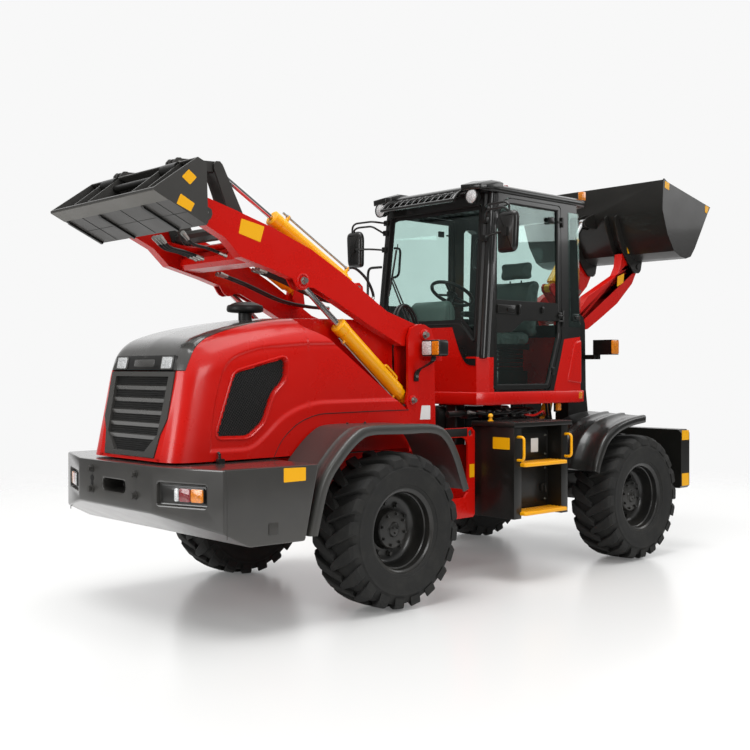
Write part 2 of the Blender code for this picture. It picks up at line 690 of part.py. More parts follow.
# ---------------------------------------------------------------- front boom and bucket
def front_boom(body):
    arm = arc(TOWER_PIN, 0.082, 240, 62, 5)
    arm = arm + [(1.019, 1.985), (1.395, 2.208), (1.716, 2.373), (2.047, 2.492), (2.318, 2.570)]
    arm = arm + [(2.545, 2.630), (2.585, 2.618)]
    arm = arm + arc(BUCKET_PIN, 0.055, 50, -60, 4)
    arm = arm + [(2.41, 2.394), (2.289, 2.282), (2.021, 2.215), (1.87, 2.17)]
    arm = arm + arc(LIFT_LUG, 0.062, -30, -140, 4)
    arm = arm + [(1.69, 2.118), (1.504, 2.037), (1.186, 1.882), (0.866, 1.742)]
    half = ARM_THICK / 2
    obj = None
    for sign in (1, -1):
        plate = prism(arm, sign * (ARM_Y - half), sign * (ARM_Y + half))
        cut(plate, pin_bar(TOWER_PIN, sign * 0.3, sign * 0.5, 0.0335, 10))
        slot = [(1.86, 2.24), (1.72, 2.22), (1.56, 2.10), (1.46, 1.90), (1.84, 1.90), (1.88, 2.06)]
        cut(plate, prism(slot, sign * (ARM_Y - 0.027), sign * (ARM_Y + 0.027)))
        cut(plate, pin_bar(BUCKET_PIN, sign * 0.3, sign * 0.5, 0.0275, 10))
        fuse(plate, pin_bar(LIFT_LUG, sign * (ARM_Y + half - 0.002), sign * (ARM_Y + half + 0.012), 0.030))
        ear = rounded([(1.16, 2.02, 0.01), (1.28, 2.09, 0.01), (1.258, 2.180, 0.03), (1.185, 2.185, 0.03)])
        for low, high in ((0.283, 0.297), (0.343, 0.382)):
            fuse(plate, prism(ear, sign * low, sign * high))
        fuse(plate, pin_bar(TILT_BASE, sign * 0.284, sign * 0.36, 0.018))
        ear_tie = block((1.19, 1.25), (sign * 0.284, sign * 0.37), (2.052, 2.082))
        fuse(plate, ear_tie)
        obj = plate if obj is None else fuse(obj, plate)
    cross = rounded([(2.03, 2.24, 0.03), (2.20, 2.265, 0.03), (2.20, 2.37, 0.04), (2.05, 2.37, 0.05)])
    fuse(obj, prism(cross, -ARM_Y, ARM_Y))
    fuse(obj, pin_bar(LEVER_PIN, -ARM_Y, ARM_Y, 0.026))
    finish(obj, "front_boom", RED, body)


def open_bucket(wall, mouth, half_width):
    """A bucket from the outline of its wall, open from the last point to the first."""
    outer = prism(wall, -half_width, half_width)
    inside = inset(wall, BUCKET_PLATE)
    first = (inside[0][0] + mouth[0], inside[0][1] + mouth[1])
    last = (inside[-1][0] + mouth[0], inside[-1][1] + mouth[1])
    hollow = prism(inside + [last, first], -half_width + BUCKET_PLATE, half_width - BUCKET_PLATE)
    return cut(outer, hollow)


def front_bucket(body):
    wall = [(2.730, 2.828), (2.668, 2.803), (2.657, 2.450), (2.668, 2.432), (FRONT_LIP_X, 2.602),
            (FRONT_LIP_X, 2.614)]
    obj = open_bucket(wall, (0.12, 0.16), FRONT_BUCKET_HALF)
    gusset = [(2.668, 2.79), (2.728, 2.822), (2.955, 2.645), (2.940, 2.572), (2.672, 2.447)]
    for sign in (1, -1):
        ear = [(2.662, 2.60), (2.600, 2.585)] + arc(BUCKET_PIN, 0.052, 150, 285, 4) + [(2.662, 2.47)]
        for low, high in ((0.352, 0.370), (0.470, 0.488)):
            fuse(obj, prism(ear, sign * low, sign * high))
        for low, high in ((0.268, 0.280), (0.448, 0.460)):
            fuse(obj, prism(gusset, sign * low, sign * high))
        fuse(obj, pin_bar(BUCKET_PIN, sign * 0.360, sign * 0.500, 0.024))
        top_ear = [(2.662, 2.70), (2.655, 2.82)] + arc(LINK_EAR, 0.036, 150, 20, 3)
        top_ear = top_ear + [(2.725, 2.815), (2.672, 2.70)]
        for low, high in ((0.268, 0.282), (0.358, 0.372)):
            fuse(obj, prism(top_ear, sign * low, sign * high))
        cut(obj, block((2.60, 2.76), (sign * 0.284, sign * 0.356), (2.742, 2.90)))
    finish(obj, "front_bucket", GREY, body)


def bar_link(start, end, radius_start, radius_end, y_low, y_high):
    """A flat link with round ends."""
    a, b = Vector(start), Vector(end)
    heading = math.degrees(math.atan2(b.y - a.y, b.x - a.x))
    outline = arc(start, radius_start, heading + 270, heading + 90, 4)
    outline = outline + arc(end, radius_end, heading + 90, heading - 90, 4)
    return prism(outline, y_low, y_high)


def tilt_linkage(bodies):
    """Levers joined by their torsion tube, and the links from their tops to the bucket."""
    obj = pin_bar(LEVER_PIN, -0.264, 0.264, 0.048, 10)
    for sign in (1, -1):
        fuse(obj, pin_bar(LEVER_PIN, sign * 0.255, sign * 0.372, 0.036))
        for low, high in ((0.252, 0.266), (0.360, 0.374)):
            lever = bar_link(LEVER_PIN, LEVER_TOP, 0.055, 0.036, sign * low, sign * high)
            fuse(obj, lever)
    cut(obj, pin_bar(LEVER_PIN, -0.5, 0.5, 0.029, 10))
    finish(obj, "tilt_levers", GREY, bodies["tilt_levers"])
    link = bar_link(LEVER_TOP, LINK_EAR, 0.034, 0.034, 0.288, 0.302)
    outer = bar_link(LEVER_TOP, LINK_EAR, 0.034, 0.034, 0.338, 0.352)
    middle = ((LEVER_TOP[0] + LINK_EAR[0]) / 2, (LEVER_TOP[1] + LINK_EAR[1]) / 2)
    tie = pin_bar(middle, 0.290, 0.350, 0.020, 8)
    finish_pair(fuse(link, outer, tie), "bucket_link", GREY, bodies["bucket_links"])


# ---------------------------------------------------------------- cab
# Levels of the cab: height, front x, rear x, half width at the sides, half width of the front
CAB_LEVELS = [
    (CAB_FLOOR, CAB_FRONT, CAB_REAR, 0.620, 0.555),
    (CAB_WAIST, CAB_FRONT, CAB_REAR, 0.620, 0.555),
    (CAB_TOP, CAB_TOP_FRONT, -1.070, 0.605, 0.530),
]


def cab_block(wall):
    """The cab's outer form, or with a wall thickness the room inside it."""
    rings = []
    for z, front, rear, half, front_half in CAB_LEVELS:
        if wall:
            z = z + (0.04 if z == CAB_FLOOR else 0) + (0.2 if z == CAB_TOP else 0)
            front, rear, half, front_half = front - wall, rear + wall, half - wall, front_half - wall * 0.7
        side = [(front, front_half), (front - 0.075, half), (rear + 0.06, half), (rear, half - 0.06)]
        ring = side + [(x, -y) for x, y in reversed(side)]
        rings.append([(x, y, z) for x, y in ring])
    return loft(rings)


def red_region(grow):
    """Lower part of the cab: sill, rear quarters and the cowl with its S-shaped shoulder."""
    top = SILL_Z + grow
    obj = block((-1.3, 0.4), (-0.8, 0.8), (1.2, top))
    rear = [(-0.66 + grow, 1.3), (-0.83 + grow, 1.82 + grow), (-1.3, 1.87 + grow), (-1.3, 1.3)]
    shoulder = [(-0.70, 1.3), (-0.70, 1.66), (-0.52, 1.67), (-0.40, 1.86), (-0.34, 1.90),
                (0.34, 1.90), (0.40, 1.86), (0.52, 1.67), (0.70, 1.66), (0.70, 1.3)]
    shoulder = [(y, z + (grow if z > 1.3 else 0)) for y, z in shoulder]
    return fuse(obj, prism(rear, -0.8, 0.8), prism(shoulder, 0.045 - grow, 0.4, "x"))


def door_outline(grow):
    corners = [(0.050, 1.412, 0.02), (0.030, 2.72, 0), (-0.02, 2.84, 0.08), (-0.14, 2.90, 0.06),
               (-0.795, 2.90, 0.02), (-0.795, 1.84, 0.02), (-0.635, 1.412, 0.02)]
    points = rounded(corners, 2)
    centre = Vector((-0.38, 2.15))
    size = Vector((0.83, 1.49))
    out = []
    for p in points:
        d = Vector(p) - centre
        out.append((centre.x + d.x * (1 + 2 * grow / size.x), centre.y + d.y * (1 + 2 * grow / size.y)))
    return out


def window_outlines():
    upper = rounded([(-0.035, 2.11, 0.04), (-0.035, 2.66, 0), (-0.07, 2.79, 0.06), (-0.17, 2.845, 0.06),
                     (-0.735, 2.845, 0.04), (-0.735, 2.11, 0.04)], 2)
    lower = rounded([(-0.035, 1.47, 0.03), (-0.035, 1.94, 0.03), (-0.60, 1.94, 0.03), (-0.735, 1.86, 0.03),
                     (-0.735, 1.80, 0.03), (-0.60, 1.47, 0.03)], 2)
    return upper, lower


def cab(bodies):
    body = bodies["chassis"]
    shell = cut(cab_block(0), cab_block(CAB_WALL))
    lower = common(copy_of(shell), red_region(0))
    upper = cut(shell, red_region(GAP))
    for sign in (1, -1):
        opening = prism(door_outline(0.004), sign * 0.30, sign * 0.80)
        cut(lower, copy_of(opening))
        cut(upper, opening)
        quarter = [(-0.915, 1.96, 0.02), (-0.915, 2.83, 0.03), (-1.035, 2.83, 0.03), (-1.035, 1.96, 0.02)]
        cut(upper, prism(rounded(quarter), sign * 0.40, sign * 0.80))
    back = rounded([(-0.50, 1.95, 0.05), (0.50, 1.95, 0.05), (0.50, 2.83, 0.08), (-0.50, 2.83, 0.08)], 2)
    cut(upper, prism(back, -1.30, -0.95, "x"))
    cut(upper, prism(screen_outline(0), -0.02, 0.40, "x"))
    hinge_hole = block((-1.02, 0.10), (-0.50, 0.50), (CAB_FLOOR - 0.05, CAB_FLOOR + 0.02))
    cut(lower, hinge_hole)
    finish(lower, "cab_body", RED, body)
    finish(upper, "cab_frame", GREY, body)


def doors(bodies):
    shell = cut(cab_block(0), cab_block(0.032))
    leaf = common(shell, prism(door_outline(0), 0.30, 0.80))
    upper, lower = window_outlines()
    cut(leaf, prism(upper, 0.40, 0.80), prism(lower, 0.40, 0.80))
    sheet = [(-0.02, 1.44), (-0.02, 2.76), (-0.10, 2.86), (-0.765, 2.86), (-0.765, 1.85), (-0.62, 1.44)]
    glass = common(cut(cab_block(0.032 + GAP), cab_block(0.038)), prism(sheet, 0.30, 0.80))
    finish_pair(leaf, "door", GREY, bodies["door_left"], bodies["door_right"])
    finish_pair(glass, "door_glass", GLASS, bodies["door_left"], bodies["door_right"])


def screen_outline(margin):
    """The windshield's opening: its lower edge follows the cowl's shoulder."""
    half, top_half, top = 0.525 - margin, 0.500 - margin, 2.84 - margin
    return [(-half, 1.770 + 2 * margin), (-top_half, top), (top_half, top), (half, 1.770 + 2 * margin),
            (0.370, 1.925 + 2 * margin), (-0.370, 1.925 + 2 * margin)]


def windshield_front(z):
    """Outer face of the cab's sloping front, at a height."""
    return CAB_FRONT + (CAB_TOP_FRONT - CAB_FRONT) * (z - CAB_WAIST) / (CAB_TOP - CAB_WAIST)


def cab_glass(bodies):
    body = bodies["chassis"]
    outline = screen_outline(2 * GAP)
    corners = ((1.6, 0.030), (1.6, 0.024), (2.9, 0.024), (2.9, 0.030))
    pane = [(windshield_front(z) - depth, z) for z, depth in corners]
    screen = common(prism(pane, -0.6, 0.6), prism(outline, -0.2, 0.4, "x"))
    finish(screen, "windshield", GLASS, body)
    wrap = cut(cab_block(-0.006), cab_block(-GAP))
    cut(wrap, block((-0.895, 0.5), (-0.9, 0.9), (1.0, 3.2)))
    cut(wrap, block((-1.5, 0.5), (-0.9, 0.9), (1.0, 1.92)))
    cut(wrap, block((-1.5, 0.5), (-0.9, 0.9), (2.86, 3.2)))
    finish(wrap, "rear_window", GLASS, body)


def cab_roof(body):
    """Crowned roof with a visor and two lamp pods over the windshield."""
    plan = [(0.13, 0.46), (0.04, 0.63), (-1.10, 0.63), (-1.17, 0.55)]
    levels = ((CAB_TOP + GAP, 1.0), (CAB_TOP + 0.045, 1.0), (CAB_TOP + 0.085, 0.93))
    rings = []
    for z, scale in levels:
        side = [(-0.52 + (x + 0.52) * scale, y * scale) for x, y in plan]
        rings.append([(x, y, z) for x, y in side + [(x, -y) for x, y in reversed(side)]])
    obj = loft(rings)
    visor = [(0.10, CAB_TOP + 0.02), (0.27, CAB_TOP - 0.10), (0.275, CAB_TOP - 0.06), (0.20, CAB_TOP + 0.045),
             (0.10, CAB_TOP + 0.07)]
    fuse(obj, prism(visor, -0.40, 0.40))
    for sign in (1, -1):
        pod = rounded([(0.00, sign * 0.40, 0), (0.21, sign * 0.40, 0.02), (0.18, sign * 0.58, 0.04),
                       (0.00, sign * 0.62, 0)], 2)
        fuse(obj, prism(pod, CAB_TOP + 0.010, CAB_TOP + 0.085, "z"))
        lamp = tube((0.10, sign * 0.492, 2.878), (0.185, sign * 0.510, 2.870), 0.058, 12)
        fuse(obj, lamp)
    finish(obj, "cab_roof", GREY, body)


def seat(body):
    side = rounded([(-0.42, 1.75, 0.03), (-0.42, 1.86, 0.04), (-0.86, 1.83, 0.03), (-0.91, 2.26, 0.03),
                    (-0.99, 2.26, 0.03), (-1.00, 1.75, 0.04)], 2)
    obj = prism(side, -0.25, 0.25)
    head = rounded([(-0.91, 2.31, 0.02), (-0.925, 2.46, 0.03), (-1.00, 2.46, 0.03), (-0.995, 2.31, 0.02)], 2)
    fuse(obj, prism(head, -0.14, 0.14))
    fuse(obj, block((-0.97, -0.94), (-0.05, 0.05), (2.24, 2.33)))
    fuse(obj, block((-0.92, -0.50), (-0.20, 0.20), (CAB_FLOOR + 0.04 + GAP, 1.76)))
    finish(obj, "seat", FABRIC, body)


def console(body):
    """Dash under the windshield, steering column and wheel."""
    foot = CAB_FLOOR + 0.04 + GAP
    side = rounded([(0.080, foot, 0), (0.080, 1.95, 0.03), (0.055, 2.10, 0.03), (-0.02, 2.12, 0.03),
                    (-0.06, 2.00, 0.02), (0.00, 1.80, 0.05), (0.00, foot, 0)])
    obj = prism(side, -0.24, 0.24)
    hub = Vector((-0.15, 0, 2.19))
    axis = Vector((-math.sin(math.radians(30)), 0, math.cos(math.radians(30))))
    column = tube((-0.02, 0, 1.94), hub, 0.030, 10)
    fuse(obj, column)
    across = axis.cross(Vector((0, 1, 0)))
    wheel_radius, grip_radius, around, section = 0.175, 0.015, 14, 4
    bm = bmesh.new()
    loops = []
    for k in range(around):
        angle = 2 * math.pi * k / around
        outward = across * math.cos(angle) + Vector((0, 1, 0)) * math.sin(angle)
        loop = []
        for j in range(section):
            turn = 2 * math.pi * j / section
            loop.append(bm.verts.new(hub + outward * (wheel_radius + grip_radius * math.cos(turn))
                                     + axis * grip_radius * math.sin(turn)))
        loops.append(loop)
    for a, b in zip(loops, loops[1:] + loops[:1]):
        for j in range(section):
            bm.faces.new((a[j], a[(j + 1) % section], b[(j + 1) % section], b[j]))
    rim_ring = mesh_object("solid", bm)
    spokes = block((-0.022, 0.022), (-0.17, 0.17), (-0.008, 0.008))
    spokes.data.transform(Matrix.Translation(hub) @ Matrix.Rotation(math.radians(-30), 4, "Y"))
    fuse(rim_ring, spokes)
    finish(fuse(obj, rim_ring), "console", BLACK, body)


def mirror(body):
    """Left mirror head on a bent tube from the front pillar."""
    head = rounded([(0.76, 2.445, 0.03), (0.94, 2.445, 0.03), (0.94, 2.745, 0.03), (0.76, 2.745, 0.03)], 2)
    obj = prism(head, 0.135, 0.175, "x")
    arm = pipe([(0.085, 0.575, 2.755), (0.17, 0.66, 2.80), (0.215, 0.80, 2.80), (0.215, 0.85, 2.76),
                (0.215, 0.85, 2.46), (0.215, 0.80, 2.42)], 0.011, 6)
    tab = block((0.165, 0.225), (0.83, 0.87), (2.56, 2.62))
    fuse(obj, arm, tab)
    cut(obj, cab_block(-GAP))
    finish_pair(obj, "mirror", BLACK, body)


# ---------------------------------------------------------------- rear chassis and loader
def rear_frame(body):
    outline = rounded([(-0.78, 0.90, 0.03), (-0.90, 1.00, 0.05), (-2.00, 1.00, 0.02), (-2.00, 0.66, 0.02),
                       (-1.00, 0.66, 0.03), (-0.86, 0.52, 0.03), (-0.78, 0.52, 0.02)])
    obj = prism(outline, -0.27, 0.27)
    cut(obj, prism([(-0.92, 1.1), (-1.96, 1.1), (-1.96, 0.69), (-0.98, 0.69)], -0.25, 0.25))
    for low, high in ((0.515, 0.565), (0.805, 0.855)):
        tongue = [(-0.82, -0.14)] + arc((STEER_PIN_X, 0), 0.095, -90, 90, 6) + [(-0.82, 0.14)]
        lug = prism(tongue, low, high, "z")
        fuse(obj, lug)
    cut(obj, tube((STEER_PIN_X, 0, 0.4), (STEER_PIN_X, 0, 1.0), 0.040, 10))
    column = rounded([(-1.275, 0.95, 0), (-1.285, 2.06, 0.09), (-1.515, 2.06, 0.09), (-1.53, 1.40, 0),
                      (-1.60, 0.95, 0)])
    for sign in (1, -1):
        inner = prism(column, sign * 0.185, sign * 0.205)
        outer = prism(column, sign * 0.305, sign * 0.325)
        cut(outer, block((-2, -1), (sign * 0.27, sign * 0.40), (0.5, 0.80)))
        web = block((-1.30, -1.28), (sign * 0.19, sign * 0.32), (0.99, 1.80))
        head = pin_bar(REAR_TOWER_PIN, sign * 0.19, sign * 0.335, 0.030)
        shelf = block((-1.45, -1.31), (sign * 0.24, sign * 0.70), (1.08, 1.142))
        lamp_arm = block((-1.55, -1.49), (sign * 0.31, sign * 0.44), (1.66, 1.70))
        lamp = block((-1.64, -1.53), (sign * 0.40, sign * 0.59), (1.70, 1.83))
        lamp_post = block((-1.57, -1.53), (sign * 0.41, sign * 0.45), (1.66, 1.72))
        fuse(obj, inner, outer, web, head, shelf, lamp_arm, lamp_post, lamp)
    cross = block((-1.49, -1.30), (-0.20, 0.20), (0.985, 1.04))
    fuse(obj, cross)
    for sign in (1, -1):
        cheek = rounded([(-1.45, 1.02, 0), (-1.27, 1.02, 0), (-1.325, 1.165, 0.02), (-1.395, 1.165, 0.02)], 2)
        fuse(obj, prism(cheek, sign * 0.034, sign * 0.052))
    fuse(obj, pin_bar(REAR_LIFT_BASE, -0.045, 0.045, 0.020))
    plate = rounded([(-0.99, 0.54, 0.02), (0.99, 0.54, 0.02), (0.99, 1.05, 0.03), (-0.99, 1.05, 0.03)], 2)
    bumper = prism(plate, -2.13, -1.995, "x")
    fuse(obj, bumper)
    finish(obj, "rear_frame", GREY, body)


def rear_boom(body):
    arm = arc(REAR_TOWER_PIN, 0.088, -60, 110, 5)
    arm = arm + [(-1.60, 2.225), (-2.05, 2.435), (-2.105, 2.52), (-2.125, 2.635), (-2.17, 2.645)]
    arm = arm + [(-2.235, 2.570), (-2.30, 2.566)] + arc(REAR_BUCKET_PIN, 0.050, 80, 250, 5)
    arm = arm + [(-2.29, 2.37), (-2.05, 2.175), (-1.79, 2.03), (-1.60, 1.93)]
    half = REAR_ARM_THICK / 2
    obj = None
    for sign in (1, -1):
        plate = prism(arm, sign * (REAR_ARM_Y - half), sign * (REAR_ARM_Y + half))
        cut(plate, pin_bar(REAR_TOWER_PIN, sign * 0.1, sign * 0.4, 0.0335, 10))
        cut(plate, pin_bar(REAR_BUCKET_PIN, sign * 0.1, sign * 0.4, 0.0275, 10))
        obj = plate if obj is None else fuse(obj, plate)
    cross = rounded([(-1.56, 1.97, 0.03), (-1.72, 2.02, 0.03), (-1.72, 2.16, 0.04), (-1.56, 2.14, 0.04)])
    fuse(obj, prism(cross, -REAR_ARM_Y, REAR_ARM_Y))
    for sign in (1, -1):
        tilt_ear = [(-1.57, 2.10), (-1.70, 2.12)] + arc(REAR_TILT_BASE, 0.045, 150, -30, 4)
        fuse(obj, prism(tilt_ear, sign * 0.036, sign * 0.054))
        lift_ear = [(-1.57, 2.05), (-1.68, 2.05)] + arc(REAR_LIFT_LUG, 0.045, 200, 340, 4)
        fuse(obj, prism(lift_ear, sign * 0.036, sign * 0.054))
    fuse(obj, pin_bar(REAR_TILT_BASE, -0.045, 0.045, 0.020))
    finish(obj, "rear_boom", RED, body)


def rear_cylinders(bodies):
    lift = barrel(REAR_LIFT_BASE, REAR_LIFT_LUG, 0, 0.048, 0.60, 0.040, 0.056, 0.024)
    finish(lift, "rear_lift_barrel", YELLOW, bodies["rear_lift_barrel"])
    lift_rod = rod(REAR_LIFT_BASE, REAR_LIFT_LUG, 0, 0.024, 0.36, 0.034, 0.040)
    finish(lift_rod, "rear_lift_rod", STEEL, bodies["rear_lift_rod"])
    tilt = barrel(REAR_TILT_BASE, REAR_TILT_EAR, 0, 0.048, 0.60, 0.040, 0.056, 0.024)
    finish(tilt, "rear_tilt_barrel", YELLOW, bodies["rear_tilt_barrel"])
    tilt_rod = rod(REAR_TILT_BASE, REAR_TILT_EAR, 0, 0.024, 0.16, 0.034, 0.040)
    finish(tilt_rod, "rear_tilt_rod", STEEL, bodies["rear_tilt_rod"])


def rear_bucket(body):
    wall = [(REAR_LIP_X, 3.085), (-2.800, 3.030), (-2.570, 2.680), (-2.500, 2.600), (-2.420, 2.577),
            (-2.320, 2.590), (-2.220, 2.632), (-2.110, 2.780), (-2.030, 2.985), (-2.045, 3.250)]
    obj = open_bucket(wall, (0.0, 0.35), REAR_BUCKET_HALF)
    apex = [(-2.048, 3.21), (-2.062, 3.262), (-2.18, 3.20), (REAR_LIP_X + 0.003, 3.082), (-2.60, 3.00)]
    for sign in (1, -1):
        edge = sign * REAR_BUCKET_HALF
        fuse(obj, prism(apex, edge - sign * BUCKET_PLATE, edge))
        ear = [(-2.020, 2.985), (-1.985, 2.960), (-2.010, 2.850), (-2.090, 2.680), (-2.190, 2.560)]
        ear = ear + [(-2.29, 2.470)] + arc(REAR_BUCKET_PIN, 0.062, 285, 180, 4)
        ear = ear + [(-2.42, 2.582), (-2.32, 2.596), (-2.225, 2.640), (-2.115, 2.785)]
        for low, high in ((0.192, 0.207), (0.303, 0.318)):
            fuse(obj, prism(ear, sign * low, sign * high))
        fuse(obj, pin_bar(REAR_BUCKET_PIN, sign * 0.195, sign * 0.330, 0.024))
        tilt_lug = [(-2.035, 3.02), (-2.06, 2.88)] + arc(REAR_TILT_EAR, 0.045, 250, 430, 4)
        fuse(obj, prism(tilt_lug, sign * 0.036, sign * 0.054))
    finish(obj, "rear_bucket", GREY, body)


# ---------------------------------------------------------------- the machine
# Bodies that move, as: name, parent, pin (x, z) or (x, y, z), y
MOVING = [
    ("rear_chassis", "chassis", (STEER_PIN_X, 0, 0.70)),
    ("front_left_wheel", "chassis", (AXLE_X, TRACK_HALF, AXLE_Z)),
    ("front_right_wheel", "chassis", (AXLE_X, -TRACK_HALF, AXLE_Z)),
    ("rear_left_wheel", "rear_chassis", (-AXLE_X, TRACK_HALF, AXLE_Z)),
    ("rear_right_wheel", "rear_chassis", (-AXLE_X, -TRACK_HALF, AXLE_Z)),
    ("door_left", "chassis", (-0.80, 0.625, 2.10)),
    ("door_right", "chassis", (-0.80, -0.625, 2.10)),
    ("front_boom", "chassis", (TOWER_PIN[0], 0, TOWER_PIN[1])),
    ("front_bucket", "front_boom", (BUCKET_PIN[0], 0, BUCKET_PIN[1])),
    ("tilt_levers", "front_boom", (LEVER_PIN[0], 0, LEVER_PIN[1])),
    ("bucket_links", "tilt_levers", (LEVER_TOP[0], 0, LEVER_TOP[1])),
    ("tilt_barrels", "front_boom", (TILT_BASE[0], 0, TILT_BASE[1])),
    ("tilt_rods", "tilt_barrels", (LEVER_TOP[0], 0, LEVER_TOP[1])),
    ("lift_barrels", "chassis", (LIFT_BASE[0], 0, LIFT_BASE[1])),
    ("lift_rods", "lift_barrels", (LIFT_LUG[0], 0, LIFT_LUG[1])),
    ("rear_boom", "rear_chassis", (REAR_TOWER_PIN[0], 0, REAR_TOWER_PIN[1])),
    ("rear_bucket", "rear_boom", (REAR_BUCKET_PIN[0], 0, REAR_BUCKET_PIN[1])),
    ("rear_tilt_barrel", "rear_boom", (REAR_TILT_BASE[0], 0, REAR_TILT_BASE[1])),
    ("rear_tilt_rod", "rear_tilt_barrel", (REAR_TILT_EAR[0], 0, REAR_TILT_EAR[1])),
    ("rear_lift_barrel", "rear_chassis", (REAR_LIFT_BASE[0], 0, REAR_LIFT_BASE[1])),
    ("rear_lift_rod", "rear_lift_barrel", (REAR_LIFT_LUG[0], 0, REAR_LIFT_LUG[1])),
]


def build():
    for obj in list(bpy.data.objects):
        bpy.data.objects.remove(obj)
    bodies = {"chassis": pivot("chassis", (0, 0, 0), None)}
    for name, parent, place in MOVING:
        bodies[name] = pivot(name + "_pivot", place, bodies[parent])
    bodies["chassis"].location = (-MACHINE_MIDDLE_X, 0, 0)

    chassis, rear = bodies["chassis"], bodies["rear_chassis"]
    wheels(bodies)
    axle(AXLE_X, "front_axle", chassis, 0.66)
    axle(-AXLE_X, "rear_axle", rear, 0.66)
    main_frame(chassis)
    counterweight(chassis)
    battery_pack(chassis)
    side_box(chassis)
    front_fender(chassis)
    hood(chassis)
    grille(chassis)
    air_intake(chassis)
    loader_tower(chassis)
    headlamp(chassis)
    cab(bodies)
    cab_glass(bodies)
    cab_roof(chassis)
    seat(chassis)
    console(chassis)
    mirror(chassis)
    doors(bodies)
    front_boom(bodies["front_boom"])
    front_bucket(bodies["front_bucket"])
    tilt_linkage(bodies)
    front_cylinders(bodies)
    rear_frame(rear)
    rear_fender(rear)
    rear_boom(bodies["rear_boom"])
    rear_bucket(bodies["rear_bucket"])
    rear_cylinders(bodies)


build()
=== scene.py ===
"""Looks of the two-ended electric loader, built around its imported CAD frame."""

import math

import bmesh
import bpy
from mathutils import Matrix, Vector


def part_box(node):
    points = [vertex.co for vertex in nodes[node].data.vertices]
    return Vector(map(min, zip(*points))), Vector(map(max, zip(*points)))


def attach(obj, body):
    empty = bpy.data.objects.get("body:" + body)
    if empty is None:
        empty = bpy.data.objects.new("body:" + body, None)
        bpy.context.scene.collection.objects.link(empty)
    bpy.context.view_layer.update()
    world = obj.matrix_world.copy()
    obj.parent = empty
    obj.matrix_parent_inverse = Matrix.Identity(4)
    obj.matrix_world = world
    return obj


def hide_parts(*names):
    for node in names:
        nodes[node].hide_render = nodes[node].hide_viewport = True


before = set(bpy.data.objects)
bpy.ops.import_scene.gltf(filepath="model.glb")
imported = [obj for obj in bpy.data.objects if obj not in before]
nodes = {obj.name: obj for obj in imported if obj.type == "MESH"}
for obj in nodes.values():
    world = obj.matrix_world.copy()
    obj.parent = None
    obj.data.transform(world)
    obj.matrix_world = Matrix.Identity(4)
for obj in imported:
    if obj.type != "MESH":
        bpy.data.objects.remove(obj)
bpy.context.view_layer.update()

# ---------------------------------------------------------------- studio
# A seamless white floor with soft boxes over and beside the machine, as a product is
# shown. The floor keeps the shadow under the wheels and fades into the white behind.
scene = bpy.context.scene
scene.view_settings.view_transform = "Standard"


def linear(colour):
    """An sRGB hex value as linear RGBA."""
    channels = []
    for k in (0, 2, 4):
        value = int(colour[k:k + 2], 16) / 255
        channels.append(value / 12.92 if value <= 0.04045 else ((value + 0.055) / 1.055) ** 2.4)
    return (*channels, 1.0)


def add_node(tree, kind, settings=None, **inputs):
    """A node with its settings and inputs; an input is a value or another node's output.

    An input is named as Blender names it, with _ for a space, or i and its number. Given a
    node, it takes the node's first output.
    """
    node = tree.nodes.new(kind)
    for name, value in (settings or {}).items():
        setattr(node, name, value)
    for name, value in inputs.items():
        socket = node.inputs[int(name[1:])] if name[1:].isdigit() else node.inputs[name.replace("_", " ")]
        if isinstance(value, bpy.types.Node):
            value = value.outputs[0]
        if isinstance(value, bpy.types.NodeSocket):
            tree.links.new(value, socket)
        else:
            socket.default_value = value
    return node


def ranged(tree, value, source, target, smooth=False):
    """A value brought from one range into another."""
    kind = {"interpolation_type": "SMOOTHSTEP"} if smooth else None
    return add_node(tree, "ShaderNodeMapRange", kind, Value=value, From_Min=source[0], From_Max=source[1],
                    To_Min=target[0], To_Max=target[1])


def linked(name, data):
    """A new object in the scene."""
    obj = bpy.data.objects.new(name, data)
    scene.collection.objects.link(obj)
    return obj


def blank_material(name):
    """A material with an empty node tree, the tree, and the object's own coordinates in it."""
    made = bpy.data.materials.new(name)
    made.use_nodes = True
    tree = made.node_tree
    tree.nodes.clear()
    return made, tree, add_node(tree, "ShaderNodeTexCoord").outputs["Object"]


def surface(tree, **settings):
    """Ends a material's tree in one shader."""
    shader = add_node(tree, "ShaderNodeBsdfPrincipled", **settings)
    add_node(tree, "ShaderNodeOutputMaterial", Surface=shader)


FLOOR_HALF = 14.0          # metres; past this the floor has faded into the backdrop
FADE_START = 5.5
floor_finish, tree, position = blank_material("white_studio_floor")
distance = add_node(tree, "ShaderNodeVectorMath", {"operation": "LENGTH"}, i0=position).outputs["Value"]
fade = ranged(tree, distance, (FADE_START, FLOOR_HALF * 0.7), (0.0, 1.0), smooth=True).outputs[0]
matt = add_node(tree, "ShaderNodeBsdfPrincipled", Base_Color=linear("CECECD"), Roughness=0.24,
                Specular_IOR_Level=0.35, Emission_Color=linear("FFFFFF"), Emission_Strength=0.10)
clear = add_node(tree, "ShaderNodeBsdfTransparent")
faded = add_node(tree, "ShaderNodeMixShader", i0=fade, i1=matt, i2=clear)
add_node(tree, "ShaderNodeOutputMaterial", Surface=faded)
mesh = bpy.data.meshes.new("studio_floor")
mesh.from_pydata([(-FLOOR_HALF, -FLOOR_HALF, 0), (FLOOR_HALF, -FLOOR_HALF, 0), (FLOOR_HALF, FLOOR_HALF, 0),
                  (-FLOOR_HALF, FLOOR_HALF, 0)], [], [(0, 1, 2, 3)])
floor = linked("studio_floor", mesh)
floor.data.materials.append(floor_finish)

